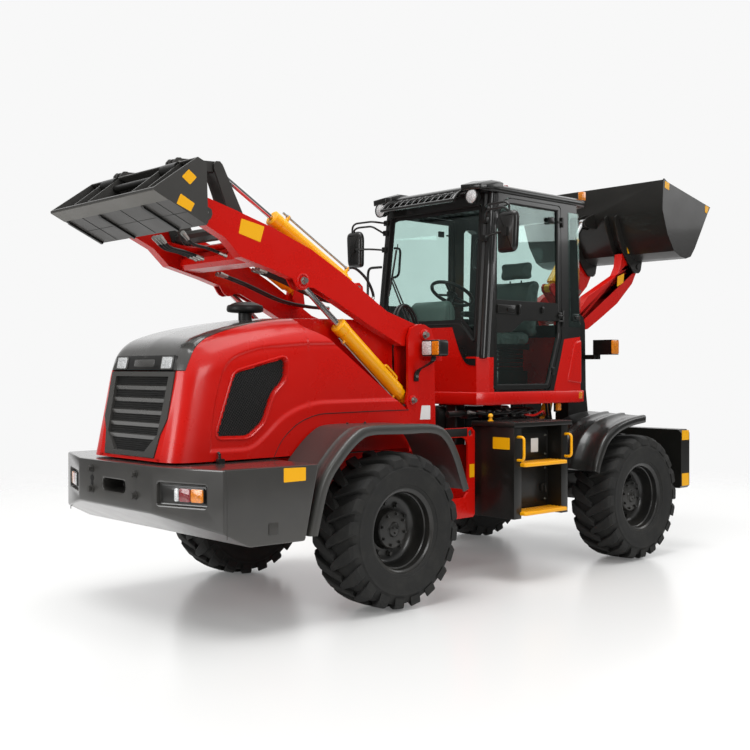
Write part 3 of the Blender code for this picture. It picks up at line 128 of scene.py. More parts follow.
WALL_STRENGTH = 0.12       # light from the room's dim walls and from its white ceiling
CEILING_STRENGTH = 0.95
SCREEN_STRENGTH = 0.85     # the white screen that stands behind the machine
BACKDROP = "F8F8F8"
world = bpy.data.worlds.new("white_room")
world.use_nodes = True
scene.world = world
tree = world.node_tree
tree.nodes.clear()
rays = add_node(tree, "ShaderNodeLightPath")
direct = add_node(tree, "ShaderNodeMath", {"operation": "MAXIMUM"}, i0=rays.outputs["Is Camera Ray"],
                  i1=rays.outputs["Is Transmission Ray"])
outlook = add_node(tree, "ShaderNodeTexCoord").outputs["Generated"]
upwards = add_node(tree, "ShaderNodeSeparateXYZ", Vector=outlook)
bright = ranged(tree, upwards.outputs["Z"], (0.05, 0.85), (WALL_STRENGTH, CEILING_STRENGTH), smooth=True)
behind = add_node(tree, "ShaderNodeVectorMath", {"operation": "DOT_PRODUCT"}, i0=outlook,
                  i1=(-0.68, -0.73, 0.0))
screen_light = ranged(tree, behind.outputs["Value"], (0.45, 0.90), (0.0, SCREEN_STRENGTH), smooth=True)
both = add_node(tree, "ShaderNodeMath", {"operation": "ADD"}, i0=bright, i1=screen_light)
room = add_node(tree, "ShaderNodeBackground", Color=linear(BACKDROP), Strength=both)
seen = add_node(tree, "ShaderNodeBackground", Color=linear(BACKDROP), Strength=1.0)
mixed = add_node(tree, "ShaderNodeMixShader", i0=direct, i1=room, i2=seen)
add_node(tree, "ShaderNodeOutputWorld", Surface=mixed)

ceiling = bpy.data.lights.new("ceiling_light", "SUN")
ceiling.energy = 1.35
ceiling.angle = math.radians(32)
holder = linked("ceiling_light", ceiling)
holder.rotation_euler = (math.radians(-3), math.radians(14), 0)

# Soft boxes: name, place, aim, side in metres, watts
SOFT_BOXES = [
    ("overhead_box", (0.8, 0.6, 6.5), (0, 0, 0.8), 4.0, 150),
    ("left_box", (3.0, 8.0, 4.2), (0.3, 0, 1.2), 3.2, 215),
    ("nose_box", (8.5, -1.0, 2.6), (0.8, 0, 1.2), 3.0, 185),
    ("rear_box", (-7.0, 4.5, 5.0), (-0.8, 0, 1.2), 3.0, 90),
]
for name, place, aim, side, watts in SOFT_BOXES:
    lamp = bpy.data.lights.new(name, "AREA")
    lamp.size = side
    lamp.energy = watts
    holder = linked(name, lamp)
    holder.location = place
    holder.rotation_euler = (Vector(aim) - Vector(place)).to_track_quat("-Z", "Y").to_euler()


EYE = (6.177, 5.984, 1.577)            # a standing person's eyes, ahead of the left front wheel
LENS_MM = 51.43
TURN = math.radians(42.912)            # off the machine's -Y axis, towards -X
TILT = math.radians(-0.33)
lens = bpy.data.cameras.new("studio_camera")
lens.lens = LENS_MM
lens.sensor_width = 36
camera = linked("studio_camera", lens)
camera.location = EYE
gaze = Vector((-math.sin(TURN) * math.cos(TILT), -math.cos(TURN) * math.cos(TILT), math.sin(TILT)))
camera.rotation_euler = gaze.to_track_quat("-Z", "Y").to_euler()
scene.camera = camera

# ---------------------------------------------------------------- painted steel
# Frames, booms, buckets and tanks are welded from steel plate, shot-blasted, powder coated
# and baked. The CAD pieces stay as they are; their plate edges are eased by a small bevel.

# Sizes below are measured along the machine from the middle of its wheelbase
MIDDLE_X = sum(corner.x for axle in ("front_axle", "rear_axle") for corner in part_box(axle)) / 4


def coated(name, colour, roughness, peel, coat, dust=0.10, metallic=0.0):
    """Powder coat: an even colour with orange peel and a breath of dust low down.

    peel is the height of the orange peel in millimetres; its cells are about 4 mm across,
    drawn at 9 mm because finer ones are lost at this size.
    """
    made, tree, position = blank_material(name)
    cloud = add_node(tree, "ShaderNodeTexNoise", Vector=position, Scale=3.5, Detail=4.0, Roughness=0.6)
    height = add_node(tree, "ShaderNodeSeparateXYZ", Vector=position).outputs["Z"]
    low = ranged(tree, height, (0.0, 1.1), (1.0, 0.15))
    spread = ranged(tree, cloud, (0.42, 0.75), (0.0, dust))
    amount = add_node(tree, "ShaderNodeMath", {"operation": "MULTIPLY"}, i0=low, i1=spread)
    shade = add_node(tree, "ShaderNodeMix", {"data_type": "RGBA"}, i0=amount, i6=linear(colour),
                     i7=linear("8A8377"))
    rough = ranged(tree, cloud, (0.3, 0.7), (roughness * 0.88, roughness * 1.15))
    cells = add_node(tree, "ShaderNodeTexNoise", Vector=position, Scale=1 / 0.009, Detail=1.0)
    peeled = add_node(tree, "ShaderNodeBump", Height=cells, Distance=peel / 1000, Strength=0.6)
    surface(tree, Base_Color=shade.outputs[2], Roughness=rough, Metallic=metallic, Normal=peeled,
            Coat_Weight=coat, Coat_Roughness=0.08, Specular_IOR_Level=0.5 if metallic else 0.32)
    return made


# Red enamel: deep and glossy, so the folds of the hood show as soft highlights
red_enamel = coated("red_powder_coat", "C20E04", 0.28, 0.18, 0.15, dust=0.02)
# Graphite enamel: satin, nearly black, on all that isn't red
graphite = coated("graphite_powder_coat", "353432", 0.40, 0.22, 0.12)
bucket_grey = coated("bucket_graphite_coat", "393836", 0.42, 0.25, 0.08)
yellow_enamel = coated("yellow_powder_coat", "F2A900", 0.36, 0.15, 0.25, dust=0.04)
# Hard chrome plate on the piston rods: a mirror with faint drawing lines
chrome, tree, position = blank_material("hard_chrome_plate")
lines = add_node(tree, "ShaderNodeTexNoise", Vector=position, Scale=60.0, Detail=2.0)
rough = ranged(tree, lines, (0.0, 1.0), (0.08, 0.20))
surface(tree, Base_Color=linear("D4D5D6"), Metallic=1.0, Roughness=rough)

EASED_EDGE = 0.004
SHARP = math.radians(30)   # edges sharper than this stay crisp
shading = bpy.data.node_groups.new("edge_shading", "GeometryNodeTree")
shading.interface.new_socket("Geometry", in_out="INPUT", socket_type="NodeSocketGeometry")
shading.interface.new_socket("Geometry", in_out="OUTPUT", socket_type="NodeSocketGeometry")
sharp_from = shading.interface.new_socket("Sharp From", in_out="INPUT", socket_type="NodeSocketFloat")
sharp_from.default_value = SHARP
entry = shading.nodes.new("NodeGroupInput")
sharp = add_node(shading, "FunctionNodeCompare", {"operation": "GREATER_THAN"},
                 i0=add_node(shading, "GeometryNodeInputMeshEdgeAngle"), i1=entry.outputs["Sharp From"])
plain = add_node(shading, "GeometryNodeSetMeshNormal", Mesh=entry)
smooth = add_node(shading, "GeometryNodeSetShadeSmooth", {"domain": "FACE"}, Geometry=plain)
creased = add_node(shading, "GeometryNodeSetShadeSmooth", {"domain": "EDGE"}, Geometry=smooth,
                   Selection=sharp, Shade_Smooth=False)
add_node(shading, "NodeGroupOutput", i0=creased)


def bevelled(obj, width, segments, angle):
    """Adds a bevel on the edges that are sharper than an angle in degrees."""
    bevel = obj.modifiers.new("eased_edges", "BEVEL")
    bevel.width = width
    bevel.segments = segments
    bevel.limit_method = "ANGLE"
    bevel.angle_limit = math.radians(angle)
    return bevel


def dress(finish, *names, edge=EASED_EDGE, bevel_from=25):
    """Gives CAD nodes their finish and eases the edges of their plates."""
    for name in names:
        node = nodes[name]
        for slot in node.material_slots:
            slot.material = finish
        weld = node.modifiers.new("weld", "WELD")
        weld.merge_threshold = 0.00005
        flats = node.modifiers.new("flats", "DECIMATE")
        flats.decimate_type = "DISSOLVE"
        flats.angle_limit = math.radians(0.2)
        if edge:
            bevelled(node, edge, 2, bevel_from).miter_outer = "MITER_ARC"
        shade = node.modifiers.new("edge_shading", "NODES")
        shade.node_group = shading
        shade[sharp_from.identifier] = SHARP
        even = node.modifiers.new("even_flats", "WEIGHTED_NORMAL")
        even.keep_sharp = True


dress(red_enamel, "main_frame", "loader_tower", "front_boom", "rear_boom")
# Black enamel: the boxes, links and frames that stay in the shade
black_enamel = coated("black_powder_coat", "131311", 0.34, 0.2, 0.12, dust=0.04)
dress(black_enamel, "rear_frame", "side_box_left", "side_box_right", "battery_pack")
dress(graphite, "tilt_levers", "bucket_link_left", "bucket_link_right")
rear_black = coated("rear_bucket_coat", "1F1E1C", 0.36, 0.2, 0.15, dust=0.04)
dress(bucket_grey, "front_bucket", edge=0.003)
dress(rear_black, "rear_bucket", edge=0.003)
dress(graphite, "front_axle", "rear_axle", edge=0.008, bevel_from=50)
# Cast iron under a thick glossy enamel, which mirrors the floor in its undercut
cast_enamel = coated("graphite_cast_enamel", "353432", 0.36, 0.25, 0.75)
dress(cast_enamel, "counterweight", edge=0.012)


# ---------------------------------------------------------------- tyres
# Industrial tyres for soft ground: a rubber carcass with a smooth sidewall and two rows of
# slanting lugs, half a pitch apart, moulded in one. They sit on their rims and turn with them.


def solid(bm, rings, closed=True, caps=True):
    """Skins rings of points; closed joins each ring's end to its start."""
    loops = [[bm.verts.new(p) for p in ring] for ring in rings]
    count = len(loops[0])
    for a, b in zip(loops, loops[1:]):
        for i in range(count if closed else count - 1):
            bm.faces.new((a[i], a[(i + 1) % count], b[(i + 1) % count], b[i]))
    if caps:
        bm.faces.new(loops[0][::-1])
        bm.faces.new(loops[-1])


def turned(bm, profile, centre=(0, 0, 0), axis="Y", segments=72, closed=False):
    """A profile of (along, radius) turned about an axis through the centre."""
    rings = []
    for k in range(segments):
        angle = 2 * math.pi * k / segments
        ring = []
        for along, radius in profile:
            flat = {"X": (along, radius * math.cos(angle), radius * math.sin(angle)),
                    "Y": (radius * math.sin(angle), along, radius * math.cos(angle)),
                    "Z": (radius * math.cos(angle), radius * math.sin(angle), along)}[axis]
            ring.append(Vector(centre) + Vector(flat))
        rings.append(ring)
    loops = [[bm.verts.new(p) for p in ring] for ring in rings]
    count = len(profile)
    for k in range(segments):
        a, b = loops[k], loops[(k + 1) % segments]
        for i in range(count if closed else count - 1):
            bm.faces.new((a[i], b[i], b[(i + 1) % count], a[(i + 1) % count]))
    bmesh.ops.remove_doubles(bm, verts=bm.verts, dist=0.00002)


def plain_mesh(bm, weld=0.00002):
    """The bmesh as a mesh with its faces outwards."""
    if weld:
        bmesh.ops.remove_doubles(bm, verts=bm.verts, dist=weld)
    bmesh.ops.recalc_face_normals(bm, faces=bm.faces)
    mesh = bpy.data.meshes.new("shape")
    bm.to_mesh(mesh)
    bm.free()
    return mesh


def evaluated(obj):
    """The object's mesh with its modifiers applied, as a new mesh; the object goes."""
    graph = bpy.context.evaluated_depsgraph_get()
    mesh = bpy.data.meshes.new_from_object(obj.evaluated_get(graph))
    bpy.data.objects.remove(obj)
    return mesh


def loose(mesh):
    """An object for a mesh that is still being made."""
    return linked("work", mesh)


def eased(mesh, width, segments=2, angle=30):
    """The mesh with its sharp edges bevelled."""
    obj = loose(mesh)
    bevelled(obj, width, segments, angle)
    return evaluated(obj)


# Slot names by finish, which mount looks up; every other finish gets black_plastic
SLOTS = {
    "red_paint": ("red_powder_coat", "red_acrylic"),
    "yellow_paint": ("yellow_powder_coat", "yellow_vinyl_label", "amber_acrylic"),
    "grey_paint": ("graphite_powder_coat", "black_powder_coat", "satin_black_wheel_paint",
                   "satin_black_frame_paint", "grey_moulded_plastic", "graphite_moulded_plastic",
                   "black_moulded_fender", "worn_edge_steel"),
    "chromed_rod": ("zinc_plated_steel", "clear_lamp_lens", "white_vinyl_label", "silvered_mirror"),
    "tyre_rubber": ("vulcanised_tyre_rubber",),
    "green_glass": ("green_tinted_glass",),
    "seat_cover": ("dark_seat_vinyl",),
}


def mount(shape, name, finish, body="chassis", replaces=(), sharp=35, slot=None, ease=0.0, segments=2,
          weld=0.00002):
    """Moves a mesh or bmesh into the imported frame, shades it and hangs it on its body.

    ease is the width of the bevel on its edges; weld is how near its points are merged.
    """
    mesh = shape if isinstance(shape, bpy.types.Mesh) else plain_mesh(shape, weld)
    if ease:
        mesh = eased(mesh, ease, segments)
    if slot is None:
        slot = next((key for key, finishes in SLOTS.items() if finish.name in finishes), "black_plastic")
    mesh.transform(Matrix.Translation((MIDDLE_X, 0, 0)))
    mesh.name = name
    mesh.materials.clear()
    mesh.materials.append(finish)
    for polygon in mesh.polygons:
        polygon.material_index = 0
    mesh.shade_smooth()
    mesh.set_sharp_from_angle(angle=math.radians(sharp))
    obj = linked(name, mesh)
    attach(obj, body)
    if replaces:
        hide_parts(*replaces)
    return obj


def new_tree(name, *inputs):
    """A geometry node tree with a geometry in and out and named inputs (name, kind, value)."""
    tree = bpy.data.node_groups.new(name, "GeometryNodeTree")
    tree.interface.new_socket("Geometry", in_out="INPUT", socket_type="NodeSocketGeometry")
    tree.interface.new_socket("Geometry", in_out="OUTPUT", socket_type="NodeSocketGeometry")
    for label, kind, value in inputs:
        socket = tree.interface.new_socket(label, in_out="INPUT", socket_type="NodeSocket" + kind)
        if value is not None:
            socket.default_value = value
    return tree, tree.nodes.new("NodeGroupInput")


def grown(obj, tree, **values):
    """Runs a node tree on an object and returns the plain mesh it makes."""
    modifier = obj.modifiers.new(tree.name, "NODES")
    modifier.node_group = tree
    for item in tree.interface.items_tree:
        key = item.name.replace(" ", "_")
        if item.in_out == "INPUT" and key in values:
            modifier[item.identifier] = values[key]
    return evaluated(obj)


def real_copies(tree, finish, **inputs):
    """Sets copies on points, makes them real mesh in one finish, and ends the tree in them."""
    placed = add_node(tree, "GeometryNodeInstanceOnPoints", **inputs)
    real = add_node(tree, "GeometryNodeRealizeInstances", Geometry=placed)
    coat = add_node(tree, "GeometryNodeSetMaterial", Geometry=real, Material=finish)
    add_node(tree, "NodeGroupOutput", i0=coat)


# Tyre rubber: matt black-brown, greyed by dust on the lugs and faintly streaked
tyre_rubber, tree, position = blank_material("vulcanised_tyre_rubber")
cloud = add_node(tree, "ShaderNodeTexNoise", Vector=position, Scale=9.0, Detail=6.0, Roughness=0.65)
grain = add_node(tree, "ShaderNodeTexNoise", Vector=position, Scale=1 / 0.006, Detail=2.0)
dusty = ranged(tree, cloud, (0.45, 0.75), (0.0, 0.35))
shade = add_node(tree, "ShaderNodeMix", {"data_type": "RGBA"}, i0=dusty, i6=linear("1A1A19"),
                 i7=linear("3A3935"))
rough = ranged(tree, cloud, (0.0, 1.0), (0.62, 0.86))
grained = add_node(tree, "ShaderNodeBump", Height=grain, Distance=0.0006, Strength=0.7)
surface(tree, Base_Color=shade.outputs[2], Roughness=rough, Normal=grained, Specular_IOR_Level=0.35)

SIDES = (("left", 1), ("right", -1))
WHEEL_X = 1.375
WHEEL_Y = 0.833
WHEEL_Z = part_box("front_left_tyre")[1].z / 2
TYRE_R = WHEEL_Z - 0.001
LUGS = 20
LUG_TURN = 0.27            # how far a lug's inner end runs ahead of its outer end, in radians
# A lug's stations from the middle of the tread out: y, width, top and foot radius
LUG_STATIONS = [(-0.030, 0.050, TYRE_R - 0.004, 0.474), (0.010, 0.062, TYRE_R, 0.472),
                (0.060, 0.074, TYRE_R - 0.001, 0.470), (0.110, 0.086, TYRE_R - 0.003, 0.466),
                (0.150, 0.094, TYRE_R - 0.008, 0.456), (0.176, 0.096, TYRE_R - 0.018, 0.440),
                (0.192, 0.088, TYRE_R - 0.038, 0.432)]
CARCASS = [(0.150, 0.262), (0.154, 0.272), (0.168, 0.292), (0.171, 0.300), (0.176, 0.304), (0.181, 0.325),
           (0.187, 0.350), (0.190, 0.380), (0.1895, 0.405), (0.192, 0.410), (0.1915, 0.416), (0.188, 0.420),
           (0.183, 0.442), (0.172, 0.462), (0.150, 0.476), (0.100, 0.482), (0.0, 0.485)]


def lug_point(y, radius, angle, sign):
    """A point at an angle round the wheel's axle."""
    return (radius * math.sin(angle), sign * y, radius * math.cos(angle))


bm = bmesh.new()
for sign in (1, -1):
    rings = []
    for index, (y, width, top, foot) in enumerate(LUG_STATIONS):
        along = index / (len(LUG_STATIONS) - 1)
        middle = LUG_TURN * (1 - along) ** 1.3 + (math.pi / LUGS if sign < 0 else 0)
        half, ease = width / 2 / TYRE_R, 0.007
        section = [(-half - 0.012, foot), (-half, top - ease), (-half + ease / TYRE_R, top),
                   (half - ease / TYRE_R, top), (half, top - ease), (half + 0.012, foot)]
        rings.append([lug_point(y, radius, middle + a, sign) for a, radius in section])
    solid(bm, rings)
lug_mesh = plain_mesh(bm)

lug_row, entry = new_tree("lug_row", ("Lugs", "Int", LUGS), ("Rubber", "Material", None))
index = add_node(lug_row, "GeometryNodeInputIndex").outputs[0]
spots = add_node(lug_row, "GeometryNodeMeshLine", Count=entry.outputs["Lugs"], Offset=(0, 0, 0))
pitch = add_node(lug_row, "ShaderNodeMath", {"operation": "DIVIDE"}, i0=2 * math.pi, i1=entry.outputs["Lugs"])
angle = add_node(lug_row, "ShaderNodeMath", {"operation": "MULTIPLY"}, i0=index, i1=pitch)
turn = add_node(lug_row, "ShaderNodeCombineXYZ", Y=angle)
real_copies(lug_row, entry.outputs["Rubber"], Points=spots, Instance=entry, Rotation=turn)

tread = grown(loose(lug_mesh), lug_row, Lugs=LUGS, Rubber=tyre_rubber)
carcass = bmesh.new()
turned(carcass, CARCASS + [(-y, r) for y, r in CARCASS[-2::-1]], segments=96, closed=True)
carcass_mesh = plain_mesh(carcass)
WHEELS = [(end + "_" + side, x, sign) for end, x in (("front", WHEEL_X), ("rear", -WHEEL_X))
          for side, sign in SIDES]
for name, x, sign in WHEELS:
    bm = bmesh.new()
    bm.from_mesh(tread)
    bm.from_mesh(carcass_mesh)
    rolled = Matrix.Rotation(0.07 * (1 + x), 4, "Y")       # no two axles stop at the same turn
    bm.transform(Matrix.Translation((x, sign * WHEEL_Y, WHEEL_Z)) @ rolled)
    mount(bm, name + "_lugged_tyre", tyre_rubber, name + "_wheel", replaces=[name + "_tyre"], sharp=28,
          weld=0)

# ---------------------------------------------------------------- rims
# Deep-dished disc wheels pressed from steel plate, welded to a rolled rim and sprayed satin
# black. Ten studs hold each to its hub, and a bolted cover closes the hub's gears.
rim_black = coated("satin_black_wheel_paint", "1D1D1C", 0.32, 0.12, 0.25, dust=0.10)
zinc = coated("zinc_plated_steel", "A9A9A4", 0.34, 0.05, 0.0, dust=0.05, metallic=1.0)
RIM = [(0.1503, 0.2617), (0.152, 0.287), (0.155, 0.290), (0.1585, 0.288), (0.160, 0.280), (0.155, 0.264),
       (0.146, 0.255), (0.110, 0.250), (0.104, 0.243), (0.040, 0.238), (0.018, 0.232), (0.002, 0.218),
       (-0.006, 0.195), (-0.008, 0.150), (-0.006, 0.136), (0.004, 0.131), (0.052, 0.127), (0.060, 0.120),
       (0.062, 0.110), (0.062, 0.052), (0.067, 0.046), (0.074, 0.042), (0.078, 0.034), (0.078, 0.0),
       (-0.024, 0.0), (-0.024, 0.205), (-0.040, 0.240), (-0.146, 0.250), (-0.158, 0.264), (-0.158, 0.287),
       (-0.1503, 0.2617)]


def aimed_copies(tree, entry, item, finish, thickness=None):
    """Copies that face as each point's facing says and are as wide as its across says.

    With a thickness they are that thick, and as long as across says.
    """
    facing = add_node(tree, "GeometryNodeInputNamedAttribute", {"data_type": "FLOAT_VECTOR"}, Name="facing")
    size = add_node(tree, "GeometryNodeInputNamedAttribute", {"data_type": "FLOAT"}, Name="across")
    if thickness is not None:
        size = add_node(tree, "ShaderNodeCombineXYZ", X=thickness, Y=thickness, Z=size)
    aimed = add_node(tree, "FunctionNodeAlignRotationToVector", {"axis": "Z"}, Vector=facing)
    real_copies(tree, finish, Points=entry, Instance=item, Rotation=aimed, Scale=size)


def facing_points(spots):
    """Loose points for aimed_copies; a spot is a place, the way it faces and its width or length."""
    mesh = bpy.data.meshes.new("spots")
    mesh.from_pydata([place for place, _, _ in spots], [], [])
    mesh.attributes.new("facing", "FLOAT_VECTOR", "POINT")
    mesh.attributes.new("across", "FLOAT", "POINT")
    for k, (_, direction, width) in enumerate(spots):
        mesh.attributes["facing"].data[k].vector = direction
        mesh.attributes["across"].data[k].value = width
    return loose(mesh)


bolting, entry = new_tree("hex_bolts", ("Steel", "Material", None))
head = add_node(bolting, "GeometryNodeMeshCylinder", Vertices=6, Radius=0.5, Depth=0.6)
lifted = add_node(bolting, "GeometryNodeTransform", Geometry=head, Translation=(0, 0, 0.42))
washer = add_node(bolting, "GeometryNodeMeshCylinder", Vertices=16, Radius=0.68, Depth=0.24)
both = add_node(bolting, "GeometryNodeJoinGeometry")
bolting.links.new(lifted.outputs[0], both.inputs[0])
bolting.links.new(washer.outputs[0], both.inputs[0])
aimed_copies(bolting, entry, both, entry.outputs["Steel"])


def bolts(name, finish, spots, body="chassis"):
    """Hexagon bolts on washers; a spot is a place, the way it faces and its width."""
    return mount(grown(facing_points(spots), bolting, Steel=finish), name, finish, body, sharp=30)


# Rings of bolts: how many, ring radius, how far out of the wheel's middle, width
BOLT_RINGS = ((10, 0.170, -0.004, 0.030), (8, 0.104, 0.066, 0.017), (3, 0.022, 0.080, 0.010))
for name, x, sign in WHEELS:
    bm = bmesh.new()
    turned(bm, [(sign * y, r) for y, r in RIM], (x, sign * WHEEL_Y, WHEEL_Z))
    mount(bm, name + "_disc_wheel", rim_black, name + "_wheel", replaces=[name + "_rim"], sharp=32)
    spots = []
    for count, radius, out, width in BOLT_RINGS:
        for k in range(count):
            angle = 2 * math.pi * (k + 0.3) / count
            place = (x + radius * math.cos(angle), sign * (WHEEL_Y + out), WHEEL_Z + radius * math.sin(angle))
            spots.append((place, (0, sign, 0), width))
    bolts(name + "_wheel_nuts", rim_black, spots, name + "_wheel")

# ---------------------------------------------------------------- hood
# The hood is a pressed steel shell, red enamelled, with a shallow pressed panel on each side
# and a cut-out behind for the lift cylinder. It is hinged at the cab and latched at the nose.
HOOD_FOOT = 1.012
# Stations from the nose back: x at the foot and at the top, half width at the foot and at the
# shoulder, height of the shoulder, half width and height of the top edge
HOOD_STATIONS = [
    (2.825, 2.702, 0.360, 0.400, 1.545, 0.370, 1.640),
    (2.812, 2.662, 0.435, 0.448, 1.570, 0.402, 1.705),
    (2.765, 2.600, 0.497, 0.493, 1.595, 0.408, 1.757),
    (2.620, 2.470, 0.530, 0.522, 1.640, 0.400, 1.805),
    (2.280, 2.240, 0.530, 0.525, 1.705, 0.392, 1.857),
    (1.800, 1.800, 0.530, 0.525, 1.770, 0.390, 1.912),
    (0.850, 0.850, 0.530, 0.525, 1.790, 0.390, 1.930),
]
CAP_FOOT = 1.566
CAP_PLAN = [(3.0, 0.450), (2.66, 0.445), (2.52, 0.405), (2.28, 0.375), (1.70, 0.300)]
POCKET_EDGE = [(0.70, 1.16), (0.84, 1.255), (1.62, 1.79), (1.78, 1.86), (1.84, 2.20)]
POCKET_Y = 0.335
PANEL = [(2.565, 1.076), (2.259, 1.074), (2.151, 1.146), (2.017, 1.260), (1.879, 1.323), (1.714, 1.356),
         (1.200, 1.360), (0.700, 1.360), (0.700, 1.770), (1.786, 1.742), (2.150, 1.716), (2.365, 1.662),
         (2.462, 1.590), (2.510, 1.437), (2.546, 1.284)]
PANEL_DEPTH = 0.013
PANEL_SLOPE = 0.026


def flow(values, t):
    """A smooth value through evenly spaced ones that never overshoots them."""
    k = min(int(t), len(values) - 2)
    f = t - k
    slopes = []
    for i in (k, k + 1):
        before = values[i] - values[i - 1] if i else values[1] - values[0]
        after = values[i + 1] - values[i] if i + 1 < len(values) else before
        slopes.append(2 * before * after / (before + after) if before * after > 0 else 0.0)
    return (values[k] * (1 + 2 * f) * (1 - f) ** 2 + slopes[0] * f * (1 - f) ** 2
            + values[k + 1] * f * f * (3 - 2 * f) + slopes[1] * f * f * (f - 1))


def level_at(profile, x):
    """The second value of a (x, value) profile, read between its points."""
    ordered = sorted(profile)
    for (x0, v0), (x1, v1) in zip(ordered, ordered[1:]):
        if x <= x1:
            return v0 + (v1 - v0) * max(0.0, x - x0) / (x1 - x0)
    return ordered[-1][1]


def resampled(path, count):
    """A path's points spread evenly along it."""
    lengths = [0.0]
    for a, b in zip(path, path[1:]):
        lengths.append(lengths[-1] + (b - a).length)
    out, k = [], 0
    for i in range(count + 1):
        goal = lengths[-1] * i / count
        while k < len(path) - 2 and lengths[k + 1] < goal:
            k += 1
        step = lengths[k + 1] - lengths[k]
        out.append(path[k].lerp(path[k + 1], (goal - lengths[k]) / step if step else 0.0))
    return out


def softened(corners, reach, steps=12):
    """A path with each inner corner turned into a curve that starts reach away from it."""
    corners = [Vector(c) for c in corners]
    path = [corners[0]]
    for i in range(1, len(corners) - 1):
        corner = corners[i]
        back, on = corners[i - 1] - corner, corners[i + 1] - corner
        start = corner + back.normalized() * min(reach, back.length * 0.49)
        end = corner + on.normalized() * min(reach, on.length * 0.49)
        for k in range(steps + 1):
            f = k / steps
            path.append(start * (1 - f) ** 2 + corner * 2 * f * (1 - f) + end * f * f)
    return path + [corners[-1]]


def closed_curve(corners, reach, steps=4):
    """A closed outline with rounded corners."""
    start = Vector(corners[0]).lerp(Vector(corners[-1]), 0.5)
    return [tuple(p) for p in softened([start] + list(corners) + [start], reach, steps)][:-1]


def hood_section(t):
    """One side of the hood's cross-section, foot to crown, as evenly spaced points."""
    low_x, top_x, low_w, side_w, side_z, top_w, top_z = [flow(column, t) for column in zip(*HOOD_STATIONS)]
    rise = (side_z - HOOD_FOOT) / (top_z - HOOD_FOOT)
    corners = [(low_x, low_w, HOOD_FOOT), (low_x + (top_x - low_x) * rise, side_w, side_z),
               (top_x, top_w, top_z), (top_x, 0, top_z + 0.014)]
    return resampled(softened(corners, 0.082), 320)


def crossing(path, test):
    """Where along a path a test first turns positive, as a fractional index."""
    last = test(path[0])
    for k in range(1, len(path)):
        now = test(path[k])
        if now > 0 >= last:
            return k - 1 + last / (last - now)
        last = now
    return float(len(path) - 1)


def cut_of(path, start, end, count):
    """Points of a path between two fractional indices."""
    out = []
    for i in range(count + 1):
        at = start + (end - start) * i / count
        k = min(int(at), len(path) - 2)
        out.append(path[k].lerp(path[k + 1], at - k))
    return out


def outline_distance(point, outline):
    """How far inside an outline a point is; outside it is negative."""
    inside, nearest = False, 1e9
    for i, a in enumerate(outline):
        b = outline[i - 1]
        if (a[1] > point[1]) != (b[1] > point[1]):
            if point[0] < (b[0] - a[0]) * (point[1] - a[1]) / (b[1] - a[1]) + a[0]:
                inside = not inside
        ab = (b[0] - a[0], b[1] - a[1])
        ap = (point[0] - a[0], point[1] - a[1])
        f = max(0.0, min(1.0, (ap[0] * ab[0] + ap[1] * ab[1]) / (ab[0] ** 2 + ab[1] ** 2 + 1e-12)))
        nearest = min(nearest, math.hypot(ap[0] - f * ab[0], ap[1] - f * ab[1]))
    return nearest if inside else -nearest


def grid(bm, columns):
    """Skins rows of points without closing or capping them."""
    solid(bm, columns, closed=False, caps=False)


def mirror(bm):
    """Adds the right half to a left half that ends on the middle plane."""
    bmesh.ops.mirror(bm, geom=bm.verts[:] + bm.edges[:] + bm.faces[:], axis="Y", merge_dist=0.0004)


PANEL_CURVE = [tuple(p) for p in softened(PANEL + [PANEL[0]], 0.07, 6)][:-1]
STEPS = [(0, 2, 20), (2, 3, 16), (3, 4, 34), (4, 4.85, 40), (4.85, 5.25, 30), (5.25, 6, 66)]
stations = [a + (b - a) * k / n for a, b, n in STEPS for k in range(n)] + [6.0]
shell_columns, cap_columns, crown_columns = [], [], []
CROWN_X = 1.70            # the cap ends here; behind it the crown is red
POCKET_X = 1.84           # the cylinders' pockets begin here
LIP = 0.012               # how far the edges along the seam turn in
SEAM = 0.6                # half the seam round the cap, in path steps of about 3 mm
for t in stations:
    path = hood_section(t)
    x = path[-1].x
    inner = crossing(path, lambda p: POCKET_Y - p.y)
    if x > CROWN_X:
        seam = crossing(path, lambda p: min(p.z - CAP_FOOT, level_at(CAP_PLAN, p.x) - p.y))
    else:
        seam = crossing(path, lambda p: 0.300 - p.y)
    floor_z = level_at(POCKET_EDGE, x)
    edge = crossing(path, lambda p: p.z - floor_z) if x < POCKET_X else inner
    if edge < inner:
        side = cut_of(path, 0, edge, 84)
        step = [side[-1].lerp(Vector((x, POCKET_Y, floor_z)), k / 6) for k in range(1, 7)]
        top = cut_of(path, inner, inner, 1)[0]
        wall = [step[-1].lerp(top, k / 8) for k in range(1, 9)]
    else:
        edge = min(inner, seam)
        side = cut_of(path, 0, edge - SEAM, 84)
        step, wall = [side[-1]] * 6, [side[-1]] * 8
        inner = edge
    roof = cut_of(path, min(inner, seam - SEAM), seam - SEAM, 4)[1:]
    for p in side:
        if p.z < 1.76:
            deep = outline_distance((p.x, p.z), PANEL_CURVE)
            f = max(0.0, min(1.0, deep / PANEL_SLOPE + 0.5))
            p.y -= PANEL_DEPTH * f * f * (3 - 2 * f)
    foot = side[0] + Vector((0, -0.014, 0.004))
    heart = Vector((min(x, 2.45), 0, 1.45))
    turned_in = roof[-1] + (heart - roof[-1]).normalized() * LIP
    shell_columns.append([foot] + side + step + wall + roof + [turned_in])
    cap = cut_of(path, seam + SEAM, len(path) - 1, 22)
    if x > CROWN_X:
        cap_columns.append([cap[0] + (heart - cap[0]).normalized() * LIP] + cap)
    else:
        crown_columns.append(cap)


def nose_x(z):
    """The sloping front face's x at a height."""
    low, top = HOOD_STATIONS[0][0], HOOD_STATIONS[0][1]
    return low + (top - low) * (z - HOOD_FOOT) / (HOOD_STATIONS[0][6] - HOOD_FOOT)


